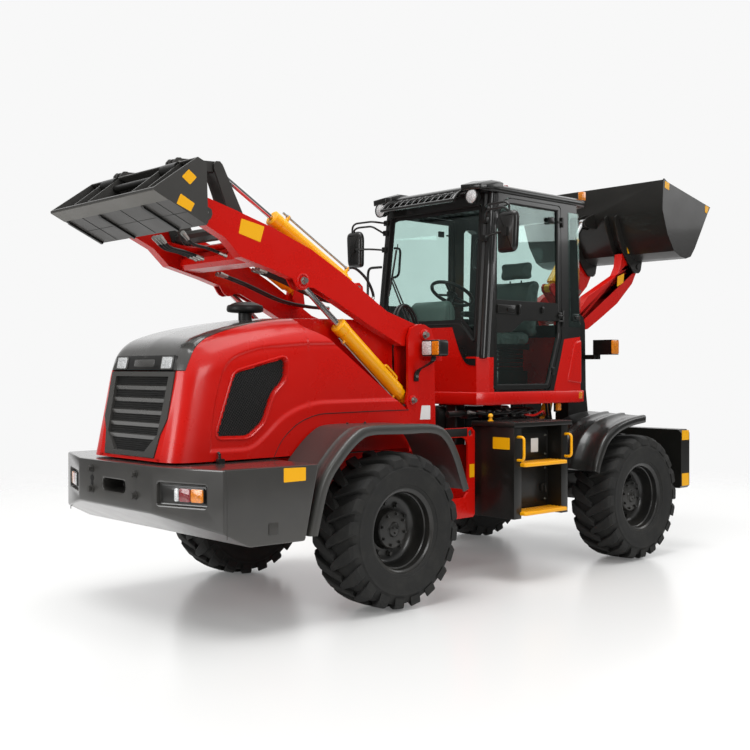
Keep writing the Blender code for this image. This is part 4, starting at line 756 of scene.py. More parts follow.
GRILLE_HALF = [(1.0, 0.300), (1.030, 0.300), (1.175, 0.330), (1.270, 0.380), (1.600, 0.380)]
bm = bmesh.new()
grid(bm, shell_columns)
grid(bm, crown_columns)
front = [p for p in shell_columns[0][1:] if p.z < CAP_FOOT + 0.001][:85]
inner_edge = [Vector((nose_x(max(p.z, 1.030)), level_at(GRILLE_HALF, p.z), max(p.z, 1.030))) for p in front]
grid(bm, [[a.lerp(b, k / 3) for a, b in zip(front, inner_edge)] for k in range(4)]
     + [[b + Vector((-0.02, 0, 0)) for b in inner_edge]])
sill = [[Vector((nose_x(z), y, z)) for y in (front[0].y, 0.30, 0.15, 0)] for z in (HOOD_FOOT, 1.030)]
grid(bm, sill + [[p + Vector((-0.02, 0, 0)) for p in sill[1]]])
bmesh.ops.remove_doubles(bm, verts=bm.verts, dist=0.0001)
# Room for the vents: the faces behind their frames go
VENT = [(2.505, 1.163), (2.368, 1.545), (1.978, 1.642), (1.988, 1.512), (2.086, 1.425), (2.162, 1.240),
        (2.275, 1.158)]
vent_curve = closed_curve(VENT, 0.035, 5)
hidden = [f for f in bm.faces if f.calc_center_median().y > 0.45
          and outline_distance(f.calc_center_median().xz, vent_curve) > -0.008]
bmesh.ops.delete(bm, geom=hidden, context="FACES")
mirror(bm)
hood_mesh = plain_mesh(bm, 0.0003)
mount(hood_mesh, "pressed_hood", red_enamel, replaces=["hood"], sharp=52)


def grown_outline(outline, by):
    """An outline moved outwards by a distance, each point along its own corner's bisector."""
    area = sum(a[0] * b[1] - b[0] * a[1] for a, b in zip(outline, outline[1:] + outline[:1]))
    turn = 1 if area > 0 else -1
    out = []
    for i, p in enumerate(outline):
        q, r = outline[i - 1], outline[(i + 1) % len(outline)]
        run = Vector((r[0] - q[0], r[1] - q[1])).normalized()
        out.append((p[0] + run.y * by * turn, p[1] - run.x * by * turn))
    return out


# Each vent has a pressed frame that slopes in to a woven wire mesh; behind the mesh a near-black plate paints
# the shade inside the hood
HOOD_SIDE = 0.531
vent_side = HOOD_SIDE - PANEL_DEPTH
wiring, entry = new_tree("wires", ("Thickness", "Float", 0.002), ("Metal", "Material", None))
bar = add_node(wiring, "GeometryNodeMeshCylinder", Vertices=5, Radius=0.5, Depth=1.0)
aimed_copies(wiring, entry, bar, entry.outputs["Metal"], entry.outputs["Thickness"])


def hatched(outline, pitch, angle):
    """Ends of the parallel lines that fill an outline."""
    turn, back = Matrix.Rotation(-angle, 2), Matrix.Rotation(angle, 2)
    flat = [turn @ Vector(p) for p in outline]
    level, high = min(p.y for p in flat) + pitch / 2, max(p.y for p in flat)
    ends = []
    while level < high:
        hits = sorted(a.x + (b.x - a.x) * (level - a.y) / (b.y - a.y)
                      for a, b in zip(flat, flat[1:] + flat[:1]) if (a.y > level) != (b.y > level))
        for k in range(0, len(hits) - 1, 2):
            ends.append((back @ Vector((hits[k], level)), back @ Vector((hits[k + 1], level))))
        level += pitch
    return ends


def wires(lines, thickness, finish):
    """Straight wires between pairs of points, as one mesh."""
    spots = [((a + b) / 2, b - a, (b - a).length) for a, b in lines]
    return grown(facing_points(spots), wiring, Thickness=thickness, Metal=finish)


dark_mesh = coated("black_mesh_paint", "191918", 0.45, 0.1, 0.05, dust=0.3)
# Near-black paint: painted shade on the plates behind the vent and grille meshes and on the discs in the
# counterweight's holes; also the real black of the seam lips and the ceramic border
black_and_painted_shade = coated("dark_duct_paint", "0B0B0B", 0.6, 0.1, 0.0)
MESH_PITCH = 0.015         # the real mesh is about 8 mm, too fine to see at this size
# The frame's section: out from the opening, and out from the panel
VENT_FRAME = [(0.031, -0.016), (0.029, 0.001), (0.024, 0.004), (0.018, 0.004), (0.002, -0.016),
              (0.0, -0.030)]
for side, sign in SIDES:
    bm = bmesh.new()
    solid(bm, [[(x, sign * (vent_side + y), z) for x, z in grown_outline(vent_curve, out)]
               for out, y in VENT_FRAME], caps=False)
    mount(bm, "vent_frame_" + side, red_enamel, sharp=40)
    # A near-black plate behind the mesh: painted shade inside the hood
    bm = bmesh.new()
    plate = grown_outline(vent_curve, 0.004)
    solid(bm, [[(x, sign * (vent_side - deep), z) for x, z in plate] for deep in (0.034, 0.040)])
    mount(bm, "vent_duct_" + side, black_and_painted_shade)
    lines = []
    for angle in (0.6, -0.97):
        for a, b in hatched(vent_curve, MESH_PITCH, angle):
            y = sign * (vent_side - 0.018 - 0.001 * (angle > 0))
            lines.append((Vector((a.x, y, a.y)), Vector((b.x, y, b.y))))
    mount(wires(lines, 0.0035, dark_mesh), "vent_mesh_" + side, dark_mesh)


def sweep(bm, path, radius, sides, closed=False):
    """A round bar along a path; radius is a number or one for each point."""
    path = [Vector(p) for p in path]
    if closed:
        path = path + [path[0]]
    heading = (path[1] - path[0]).normalized()
    across = heading.orthogonal().normalized()
    rings = []
    for i, p in enumerate(path):
        before = p - path[i - 1] if i else heading
        after = path[i + 1] - p if i + 1 < len(path) else before
        new = (before.normalized() + after.normalized()).normalized()
        across = (across - new * across.dot(new)).normalized()
        other = new.cross(across)
        r = radius[i] if isinstance(radius, (list, tuple)) else radius
        rings.append([p + (across * math.cos(2 * math.pi * k / sides)
                           + other * math.sin(2 * math.pi * k / sides)) * r for k in range(sides)])
    solid(bm, rings, caps=not closed)


# A rubber lip lies in the seam between the hood and the wheel-arch panel below it
bm = bmesh.new()
ARCH_SEAM = [(2.084, 1.010), (2.017, 1.126), (1.880, 1.229), (1.714, 1.278), (1.212, 1.283), (0.870, 1.283)]
for sign in (1, -1):
    sweep(bm, [(p[0], sign * 0.5275, p[1]) for p in softened(ARCH_SEAM, 0.07, 8)], 0.0035, 6)
mount(bm, "arch_seam_lips", black_and_painted_shade)

# ---------------------------------------------------------------- hood cap
# A moulded cap covers the hood's nose and crown: grey plastic, clipped on, with two square
# work lamps in a dark bezel and a blank badge plate between them.
cap_plastic = coated("grey_moulded_plastic", "403F3D", 0.28, 0.10, 0.8, dust=0.04)
bm = bmesh.new()
grid(bm, cap_columns)
brow = cap_columns[0][1:]
foot_row = [Vector((nose_x(CAP_FOOT + 0.002), p.y, CAP_FOOT + 0.002)) for p in brow]
grid(bm, [[a.lerp(b, k / 8) for a, b in zip(brow, foot_row)] for k in range(9)]
     + [[b + Vector((-0.02, 0, 0)) for b in foot_row]])
grid(bm, [cap_columns[-1], [p + Vector((0.003, 0, -0.012)) for p in cap_columns[-1]]])
mirror(bm)
mount(bm, "moulded_hood_cap", cap_plastic, replaces=["hood_cap"], sharp=38, weld=0.0003)


def rounded_box(bm, low, high, radius, steps=4, along=0):
    """A block between two corners, its four edges along an axis rounded."""
    low, high = [min(pair) for pair in zip(low, high)], [max(pair) for pair in zip(low, high)]
    a, b = [i for i in range(3) if i != along]
    centres = [(high[a] - radius, high[b] - radius, 0), (low[a] + radius, high[b] - radius, 1),
               (low[a] + radius, low[b] + radius, 2), (high[a] - radius, low[b] + radius, 3)]
    rings = []
    for level in (low[along], high[along]):
        ring = []
        for u, v, quarter in centres:
            for k in range(steps + 1):
                angle = math.pi / 2 * (quarter + k / steps)
                point = [0.0, 0.0, 0.0]
                point[along] = level
                point[a] = u + radius * math.cos(angle)
                point[b] = v + radius * math.sin(angle)
                ring.append(Vector(point))
        rings.append(ring)
    solid(bm, rings)


def lens_finish(name, colour, painted_glow):
    """A clear or coloured lamp lens: glossy, with pressed prisms behind it; painted_glow is a faint emission,
    painted light that stands in for sky light caught in the unlit lamp.
    """
    made, tree, position = blank_material(name)
    facets = add_node(tree, "ShaderNodeTexVoronoi", {"feature": "F1"}, Vector=position, Scale=1 / 0.010)
    shade = ranged(tree, facets.outputs["Distance"], (0.0, 0.8), (1.0, 0.45))
    tint = add_node(tree, "ShaderNodeMix", {"data_type": "RGBA"}, i0=shade, i6=linear("1A1A1A"),
                    i7=linear(colour))
    prisms = add_node(tree, "ShaderNodeBump", Height=facets.outputs["Distance"], Distance=0.003, Strength=0.5)
    surface(tree, Base_Color=tint.outputs[2], Roughness=0.12, Normal=prisms, Coat_Weight=1.0,
            Coat_Roughness=0.02, Emission_Color=linear(colour), Emission_Strength=painted_glow)
    return made


# Clear lens over a chromed bowl; amber and red ones are moulded acrylic; a faint painted glow stands in for
# sky light in the unlit lamps
clear_lens = lens_finish("clear_lamp_lens", "E4E6E6", 0.06)
amber_lens = lens_finish("amber_acrylic", "F08A10", 0.10)
red_lens = lens_finish("red_acrylic", "8E1420", 0.04)
bezel_black = coated("black_moulded_plastic", "161615", 0.32, 0.1, 0.2)
NOSE_LEAN = math.atan2(HOOD_STATIONS[0][0] - HOOD_STATIONS[0][1], HOOD_STATIONS[0][6] - HOOD_FOOT)
LAMP_ROW = 1.614


def on_nose(bm, ease):
    """A lamp row part, built round the origin, eased and moved onto the sloping nose."""
    mesh = eased(plain_mesh(bm), ease)
    mesh.transform(Matrix.Translation((nose_x(LAMP_ROW), 0, LAMP_ROW)) @ Matrix.Rotation(-NOSE_LEAN, 4, "Y"))
    return mesh


bm = bmesh.new()
rounded_box(bm, (-0.004, -0.360, -0.047), (0.0025, 0.360, 0.048), 0.012)
mount(on_nose(bm, 0.0015), "lamp_bezel", bezel_black)
bm = bmesh.new()
lens = bmesh.new()
for y in (-0.270, 0.270):
    rounded_box(bm, (0.000, y - 0.068, -0.043), (0.0065, y + 0.068, 0.043), 0.012)
    rounded_box(lens, (0.003, y - 0.056, -0.036), (0.0085, y + 0.056, 0.036), 0.010)
mount(on_nose(bm, 0.002), "nose_lamp_rims", cap_plastic, slot="black_plastic")
mount(on_nose(lens, 0.002), "nose_lamp_lenses", clear_lens)
bm = bmesh.new()
rounded_box(bm, (0.000, -0.120, -0.026), (0.0045, 0.120, 0.022), 0.010)
mount(on_nose(bm, 0.0015), "blank_badge", cap_plastic)

# ---------------------------------------------------------------- grille
# The CAD surround stays: a moulding with five slats. Behind the slats lies a steel mesh that
# lets air to the cooler; a near-black plate behind the mesh paints the shade inside the nose.
dress(cap_plastic, "grille", edge=0.003)
GRILLE_OPENING = [(-0.325, 1.535), (0.325, 1.535), (0.305, 1.172), (0.185, 1.060), (-0.185, 1.060),
                  (-0.305, 1.172)]
lines = []
for angle in (0.0, math.pi / 2):
    for a, b in hatched(GRILLE_OPENING, 0.0125, angle):
        lines.append(tuple(Vector((nose_x(z) - 0.0125 - 0.001 * (angle > 0), y, z)) for y, z in (a, b)))
# A near-black plate behind the mesh: painted shade inside the nose
bm = bmesh.new()
solid(bm, [[(nose_x(z) - deep, y, z) for y, z in GRILLE_OPENING] for deep in (0.016, 0.019)])
mount(bm, "grille_duct", black_and_painted_shade)
mount(wires(lines, 0.003, dark_mesh), "grille_mesh", dark_mesh)

# ---------------------------------------------------------------- air intake
# A moulded rain cap with a rolled edge and a pressed crown. It is pushed over a short pipe that
# stands on the hood, and clamped there.
intake_black = coated("black_polymer", "1D1D1C", 0.5, 0.2, 0.05, dust=0.15)
bm = bmesh.new()
turned(bm, [(0.0, 0.0), (0.0, 0.046), (0.094, 0.046), (0.098, 0.052), (0.100, 0.100), (0.104, 0.118),
            (0.112, 0.125), (0.124, 0.126), (0.142, 0.123), (0.150, 0.116), (0.153, 0.100), (0.160, 0.092),
            (0.168, 0.070), (0.171, 0.040), (0.172, 0.0)], (1.925, 0, 1.862), "Z", 64)
mount(bm, "rain_cap", intake_black, replaces=["air_intake"], sharp=40)

# ---------------------------------------------------------------- counterweight details
# The counterweight is one heavy casting. Bolts show on its face, and near-black discs paint the shade
# in its clearance holes; lamps sit in its pockets, and its sides carry a blank label and a cast square.
CW_FACE = 2.93
spots = [((CW_FACE + 0.003, y, z), (1, 0, 0), 0.038) for y in (-0.270, 0.265) for z in (0.942, 0.812)]
bolts("counterweight_bolts", graphite, spots)
# Near-black discs on the face: painted shade in the clearance holes
bm = bmesh.new()
for y, z, r in ((-0.270, 0.880, 0.020), (-0.270, 0.848, 0.014)):
    turned(bm, [(CW_FACE - 0.004, 0.0), (CW_FACE - 0.004, r), (CW_FACE + 0.002, r), (CW_FACE + 0.002, 0.0)],
           (0, y, z), "X", 20)
mount(bm, "clearance_holes", black_and_painted_shade)
CW_CORNER_X, CW_CORNER_Y = 2.756, 0.941    # where its side turns into the slanted corner
CW_SLANT = math.atan2(CW_FACE - CW_CORNER_X, CW_CORNER_Y - 0.44)
# Name, finish, inner and outer end, bottom, top, back and front
lamp_parts = [("lamp_trays", bezel_black, -0.165, 0.168, 0.786, 0.894, -0.026, -0.022),
              ("lamp_bodies", bezel_black, -0.060, 0.158, 0.796, 0.886, -0.024, -0.009),
              ("lamp_clear", clear_lens, -0.054, -0.022, 0.802, 0.880, -0.020, 0.000),
              ("lamp_red", red_lens, -0.020, 0.062, 0.802, 0.880, -0.020, -0.001),
              ("lamp_amber", amber_lens, 0.064, 0.152, 0.802, 0.880, -0.020, -0.003)]
for name, finish, u0, u1, z0, z1, deep, proud in lamp_parts:
    bm = bmesh.new()
    for sign in (1, -1):
        part = bmesh.new()
        rounded_box(part, (deep, sign * u0, z0), (proud, sign * u1, z1), 0.012)
        turn = Matrix.Rotation(sign * CW_SLANT, 4, "Z")
        part.transform(Matrix.Translation((2.856, sign * 0.654, 0)) @ turn)
        bm.from_mesh(plain_mesh(part))
    mount(bm, name, finish, ease=0.0035, weld=0)


def cw_side_y(x):
    """The counterweight's side, which draws in a little towards its front."""
    return CW_CORNER_Y + (0.995 - CW_CORNER_Y) * (CW_CORNER_X - x) / (CW_CORNER_X - 2.0)


label_yellow = coated("yellow_vinyl_label", "EDAB00", 0.45, 0.02, 0.1, dust=0.02)
label_white = coated("white_vinyl_label", "E8E8E6", 0.45, 0.02, 0.1, dust=0.02)


def label(name, corners, outwards, finish, body="chassis", radius=0.006):
    """A thin blank sticker through four corners, lying just proud of what it is stuck on."""
    out = Vector(outwards).normalized()
    bm = bmesh.new()
    loop = [Vector(p) for p in closed_curve(corners, radius, 3)]
    solid(bm, [[p - out * 0.001 for p in loop], [p + out * 0.0012 for p in loop]])
    return mount(bm, name, finish, body, weld=0)


def flank_label(name, y, corners, body="chassis", finish=label_yellow, radius=0.004):
    """A sticker on an upright face at y, with its corners as (x, z)."""
    return label(name, [(x, y, z) for x, z in corners], (0, y, 0), finish, body, radius)


CW_LABEL = [(2.349, 0.903), (2.349, 0.988), (2.190, 0.985), (2.190, 0.905)]
for side, sign in SIDES:
    label("counterweight_label_" + side, [(x, sign * cw_side_y(x), z) for x, z in CW_LABEL],
          (0.07, sign, 0), label_yellow)
bm = bmesh.new()
for sign in (1, -1):
    part = bmesh.new()
    rounded_box(part, (2.385, -0.004, 0.600), (2.455, 0.003, 0.670), 0.008, along=1)
    part.transform(Matrix.Translation((0, sign * cw_side_y(2.42), 0)))
    bm.from_mesh(plain_mesh(part))
    sweep(bm, [(2.735, sign * (cw_side_y(2.735) - 0.001), z) for z in (0.60, 0.988)], 0.003, 6)
mount(bm, "cast_marks", graphite, ease=0.002, weld=0)
bm = bmesh.new()
for sign in (1, -1):
    part = bmesh.new()
    rounded_box(part, (2.500, 0.552, 0.999), (2.545, 0.585, 1.030), 0.010, along=1)
    part.transform(Matrix.Scale(sign, 4, (0, 1, 0)))
    bm.from_mesh(plain_mesh(part))
    sweep(bm, [(2.522, sign * 0.560, 1.00), (2.522, sign * 0.560, 1.055), (2.522, sign * 0.545, 1.065)],
          0.009, 8)
mount(bm, "hood_latches", bezel_black, weld=0)

# ---------------------------------------------------------------- fenders
# The fenders are moulded in graphite plastic with a rolled outer rim and a pressed bead, and
# bolted to brackets on the frame.


def through(points, steps):
    """A smooth path through the points."""
    points = [Vector(p) for p in points]
    ends = [points[0] * 2 - points[1]] + points + [points[-1] * 2 - points[-2]]
    path = []
    for p0, p1, p2, p3 in zip(ends, ends[1:], ends[2:], ends[3:]):
        for k in range(steps):
            t = k / steps
            path.append((p1 * 2 + (p2 - p0) * t + (p0 * 2 - p1 * 5 + p2 * 4 - p3) * t * t
                         + (p1 * 3 - p0 - p2 * 3 + p3) * t ** 3) * 0.5)
    return path + [points[-1]]


fender_plastic = coated("graphite_moulded_plastic", "383836", 0.36, 0.15, 0.2, dust=0.12)
rear_fender_plastic = coated("black_moulded_fender", "1C1C1B", 0.30, 0.15, 0.3, dust=0.06)
FRONT_ARCH = [(2.150, 0.563), (2.056, 0.876), (1.925, 1.045), (1.779, 1.165), (1.656, 1.205), (1.360, 1.205),
              (1.063, 1.195), (0.933, 1.130), (0.832, 0.985), (0.730, 0.746)]
REAR_ARCH = [(-0.760, 0.767), (-0.788, 0.851), (-0.890, 1.009), (-1.010, 1.090), (-1.125, 1.135),
             (-1.290, 1.168), (-1.460, 1.185)]
RIM_EDGE = [(0.928, 0.000), (0.936, -0.007), (0.966, -0.008), (0.978, -0.003), (0.985, 0.008), (0.986, 0.050),
            (0.980, 0.056), (0.970, 0.054), (0.966, 0.030), (0.955, 0.020)]
FRONT_SECTION = ([(0.543, 0.0), (0.840, 0.0), (0.846, -0.004), (0.856, -0.004), (0.862, 0.0)] + RIM_EDGE
                 + [(0.543, 0.018)])
REAR_SECTION = ([(0.400, -0.025), (0.560, -0.018), (0.572, -0.028), (0.606, -0.028), (0.618, -0.016),
                 (0.720, -0.010), (0.732, -0.020), (0.770, -0.020), (0.782, -0.007)] + RIM_EDGE
                + [(0.400, 0.004)])
for end, arch, section, x in (("front", FRONT_ARCH, FRONT_SECTION, WHEEL_X),
                              ("rear", REAR_ARCH, REAR_SECTION, -WHEEL_X)):
    body = "chassis" if end == "front" else "rear_chassis"
    for side, sign in SIDES:
        rings = []
        for p in through(arch, 7):
            toward = (Vector((x, WHEEL_Z)) - p).normalized()
            rings.append([(p.x + toward.x * deep, sign * y, p.y + toward.y * deep) for y, deep in section])
        bm = bmesh.new()
        solid(bm, rings)
        mount(bm, end + "_fender_shell_" + side, fender_plastic if end == "front" else rear_fender_plastic,
              body, replaces=[end + "_fender_" + side], sharp=50)
        if end == "front":
            bolts("fender_bolts_" + side, graphite,
                  [((along, sign * 0.60, 1.206), (0, 0, 1), 0.016) for along in (1.36, 1.52)])

# ---------------------------------------------------------------- loader tower details
# Pins with zinc-plated keeper plates and grease nipples hold the boom and cylinders to the red
# towers. Each tower carries a lamp on a black bracket, and a blank white plate.
spots = []
for sign in (1, -1):
    spots += [((0.68, sign * 0.507, 1.824), (0, sign, 0), 0.040),
              ((0.80, sign * 0.507, 1.35), (0, sign, 0), 0.034),
              ((0.765, sign * 0.507, 1.520), (0, sign, 0), 0.016)]
bolts("tower_pin_bolts", zinc, spots)
bm = bmesh.new()
for sign in (1, -1):
    for x, z, r in ((0.68, 1.824, 0.044), (0.80, 1.35, 0.036)):
        turned(bm, [(sign * 0.496, 0.0), (sign * 0.496, r), (sign * 0.505, r - 0.002),
                    (sign * 0.507, r - 0.006), (sign * 0.507, 0.0)], (x, 0, z), "Y", 32)
mount(bm, "tower_pin_bosses", red_enamel, weld=0)
HEADLAMP_Z = 1.665
for side, sign in SIDES:
    flank_label("tower_plate_" + side, sign * 0.4965,
                ((0.724, 1.208), (0.706, 1.310), (0.617, 1.308), (0.617, 1.206)), finish=label_white)
    bm = bmesh.new()
    rounded_box(bm, (0.648, sign * 0.528, HEADLAMP_Z + 0.002), (0.742, sign * 0.712, HEADLAMP_Z + 0.120),
                0.020)
    mount(bm, "headlamp_housing_" + side, bezel_black, replaces=["headlamp_" + side], ease=0.008, segments=3)
    for name, y0, y1, finish in (("clear", 0.538, 0.628, clear_lens), ("amber", 0.632, 0.704, amber_lens)):
        bm = bmesh.new()
        rounded_box(bm, (0.735, sign * y0, HEADLAMP_Z + 0.012), (0.7455, sign * y1, HEADLAMP_Z + 0.110),
                    0.012)
        mount(bm, "headlamp_%s_%s" % (name, side), finish, ease=0.003)
    bm = bmesh.new()
    strap = through([(0.690, 0.606, 1.668), (0.700, 0.606, 1.635), (0.735, 0.570, 1.600),
                     (0.765, 0.530, 1.570), (0.768, 0.508, 1.530), (0.768, 0.508, 1.490)], 5)
    solid(bm, [[(p.x - 0.022, sign * p.y, p.z), (p.x + 0.022, sign * p.y, p.z),
                (p.x + 0.022, sign * (p.y - 0.008), p.z - 0.004),
                (p.x - 0.022, sign * (p.y - 0.008), p.z - 0.004)] for p in strap])
    mount(bm, "headlamp_strap_" + side, bezel_black)

# ---------------------------------------------------------------- cab shell
# The cab is welded from steel profiles: red below, satin black above. Its lower panels carry
# pressed stiffening fields, rubber seals run round the openings, and small lamps mark its corners.
satin_black = coated("satin_black_frame_paint", "171716", 0.30, 0.12, 0.35, dust=0.03)
dress(red_enamel, "cab_body", edge=0.012)
dress(satin_black, "cab_frame", edge=0.010)


COWL_Z = 1.66              # above the cowl the cab leans in, up to its roof
LEAN_RISE = 1.27


def cab_side(x, z):
    """Half the cab's width: straight along the side, drawn in at the slanted front corner."""
    rise = max(0.0, z - COWL_Z) / LEAN_RISE
    half, front, front_half = 0.620 - 0.015 * rise, 0.175 - 0.125 * rise, 0.555 - 0.025 * rise
    f = max(0.0, min(1.0, (x - front + 0.075) / 0.075))
    return half + (front_half - half) * f


def cab_front(z):
    """The windshield's plane: upright below, leaning back above the cowl."""
    return 0.175 - 0.125 * max(0.0, z - COWL_Z) / LEAN_RISE


def on_front(outline, out):
    """Outline points (y, z) laid on the windshield's plane, a little proud of it."""
    return [(cab_front(z) + out, y, z) for y, z in outline]


def on_side(outline, out, sign):
    """Outline points (x, z) laid on the cab's side, a little proud of it."""
    return [(x, sign * (cab_side(x, z) + out), z) for x, z in outline]


def moulding(bm, outline, profile, place):
    """A closed strip round an outline; the profile is (distance in from the outline, proud)."""
    rings = [place(grown_outline(outline, -inside), proud) for inside, proud in profile]
    solid(bm, rings + [rings[0]], caps=False)
    bmesh.ops.remove_doubles(bm, verts=bm.verts, dist=0.00001)


for side, sign in SIDES:
    bm = bmesh.new()
    field = closed_curve([(-0.868, 1.470), (-0.968, 1.800), (-1.060, 1.822), (-1.060, 1.450)], 0.03)
    solid(bm, [on_side(grown_outline(field, -inside), out, sign) for inside, out in
               ((0.0, -0.004), (0.0, 0.0), (0.010, 0.008), (0.020, 0.008))])
    mount(bm, "pressed_quarter_panel_" + side, red_enamel, sharp=50)
    bm = bmesh.new()
    rounded_box(bm, (-1.062, sign * 0.612, 1.330), (-1.018, sign * 0.632, 1.388), 0.006, along=1)
    rounded_box(bm, (-0.835, sign * 0.560, 1.236), (-0.790, sign * 0.585, 1.296), 0.006, along=1)
    mount(bm, "side_marker_lamps_" + side, amber_lens, ease=0.003)
    bm = bmesh.new()
    rounded_box(bm, (-0.842, sign * 0.545, 1.225), (-0.783, sign * 0.562, 1.304), 0.006, along=1)
    mount(bm, "marker_bracket_" + side, satin_black, slot="black_plastic", ease=0.002)
    bm = bmesh.new()
    rounded_box(bm, (-1.030, sign * 0.606, 1.972), (-0.945, sign * 0.622, 2.032), 0.012, along=1)
    rounded_box(bm, (-1.012, sign * 0.616, 1.992), (-0.965, sign * 0.634, 2.010), 0.006, along=1)
    mount(bm, "quarter_window_catch_" + side, bezel_black, ease=0.003)

# A rounded pillar profile stands at each front corner, between the windshield and the door
bm = bmesh.new()
for sign in (1, -1):
    sweep(bm, [(cab_front(z) - 0.048, sign * (0.577 - 0.018 * max(0.0, z - COWL_Z)), z)
               for z in (1.655, 1.66, 2.30, 2.935)], [0.024, 0.034, 0.034, 0.034], 24)
mount(bm, "front_pillars", satin_black, sharp=50, weld=0)

# The bottom rail stands a little proud, folded round the cab's front and both sides
RAIL_PLAN = [(-1.085, 0.620), (0.098, 0.620), (0.175, 0.555)]
RAIL_FOLD = [(-0.006, 1.304), (0.005, 1.306), (0.006, 1.312), (0.006, 1.390), (0.003, 1.396), (-0.006, 1.400)]
rows = []
for out, z in RAIL_FOLD:
    half = [(x + out * (x > 0.1), y + out) for x, y in RAIL_PLAN]
    rows.append([Vector((x, y, z)) for x, y in half + [(x, -y) for x, y in half[::-1]]])
bm = bmesh.new()
grid(bm, rows)
mount(bm, "cab_bottom_rail", red_enamel, sharp=40)

# ---------------------------------------------------------------- cab glass
# Toughened glass with a faint green tint. The windshield is bonded in behind a black ceramic
# border; the CAD panes stay, and the doors have panes of their own.
green_glass, tree, position = blank_material("green_tinted_glass")
haze = add_node(tree, "ShaderNodeTexNoise", Vector=position, Scale=2.0, Detail=3.0)
veil = ranged(tree, haze, (0.3, 0.7), (0.03, 0.07))
edge_on = add_node(tree, "ShaderNodeLayerWeight", Blend=0.5).outputs["Facing"]
rising = add_node(tree, "ShaderNodeMath", {"operation": "POWER"}, i0=edge_on, i1=4.0)
mirrored = add_node(tree, "ShaderNodeMath", {"operation": "MULTIPLY_ADD"}, i0=rising, i1=0.6, i2=veil)
tinted = add_node(tree, "ShaderNodeBsdfTransparent", Color=linear("EFF8F6"))
gloss = add_node(tree, "ShaderNodeBsdfPrincipled", Base_Color=linear("DCEBE8"), Metallic=1.0, Roughness=0.02)
shader = add_node(tree, "ShaderNodeMixShader", i0=mirrored, i1=tinted, i2=gloss)
add_node(tree, "ShaderNodeOutputMaterial", Surface=shader)
dress(green_glass, "windshield", "rear_window", edge=0)

SCREEN = [(-0.525, 1.770), (-0.500, 2.840), (0.500, 2.840), (0.525, 1.770), (0.370, 1.925), (-0.370, 1.925)]
bm = bmesh.new()
screen = closed_curve(SCREEN, 0.05)
moulding(bm, screen, [(0.0, -0.0230), (0.0, -0.0205), (0.034, -0.0205), (0.034, -0.0230)], on_front)
mount(bm, "ceramic_border", black_and_painted_shade)
rubber_seal = coated("black_rubber_seal", "131312", 0.62, 0.1, 0.0, dust=0.1)
bm = bmesh.new()
moulding(bm, grown_outline(screen, 0.006), [(0.0, -0.001), (0.0, 0.003), (0.004, 0.005), (0.011, 0.003),
                                            (0.012, -0.022), (0.004, -0.022)], on_front)
mount(bm, "windshield_seal", rubber_seal)

# The border runs down over the cowl's shoulders in an S on both sides
bm = bmesh.new()
for sign in (1, -1):
    shoulder = through([(0.270, 1.934), (0.335, 1.800), (0.387, 1.700), (0.455, 1.618), (0.545, 1.600)], 5)
    outline = [tuple(p) for p in shoulder] + [(0.552, 1.775), (0.520, 1.778), (0.372, 1.934)]
    solid(bm, [[(cab_front(z) + out, sign * y, z) for y, z in outline] for out in (-0.004, 0.0035)])
mount(bm, "cowl_glass_border", satin_black, slot="black_plastic", weld=0)


def on_screen(y, z, out):
    """A point out from the windshield."""
    return Vector((cab_front(z) + out, y, z))


# Wiper: a parallel-link arm from a pivot under the windshield, with a rubber blade
bm = bmesh.new()
for y0, y1, z1 in ((-0.155, -0.440, 2.330), (-0.118, -0.425, 2.345)):
    sweep(bm, [on_screen(y0, 1.900, 0.030), on_screen(y0 - 0.012, 1.935, 0.036), on_screen(y1, z1, 0.016)],
          0.0065, 8)
sweep(bm, [on_screen(-0.455, 2.180, 0.006), on_screen(-0.405, 2.560, 0.006)], 0.007, 8)
sweep(bm, [on_screen(-0.455, 2.230, -0.008), on_screen(-0.405, 2.610, -0.008)], 0.005, 6)
for y in (-0.155, -0.118):
    turned(bm, [(0.165, 0.0), (0.165, 0.016), (0.205, 0.014), (0.210, 0.0)], (0, y, 1.893), "X", 16)
mount(bm, "pantograph_wiper", bezel_black, weld=0)

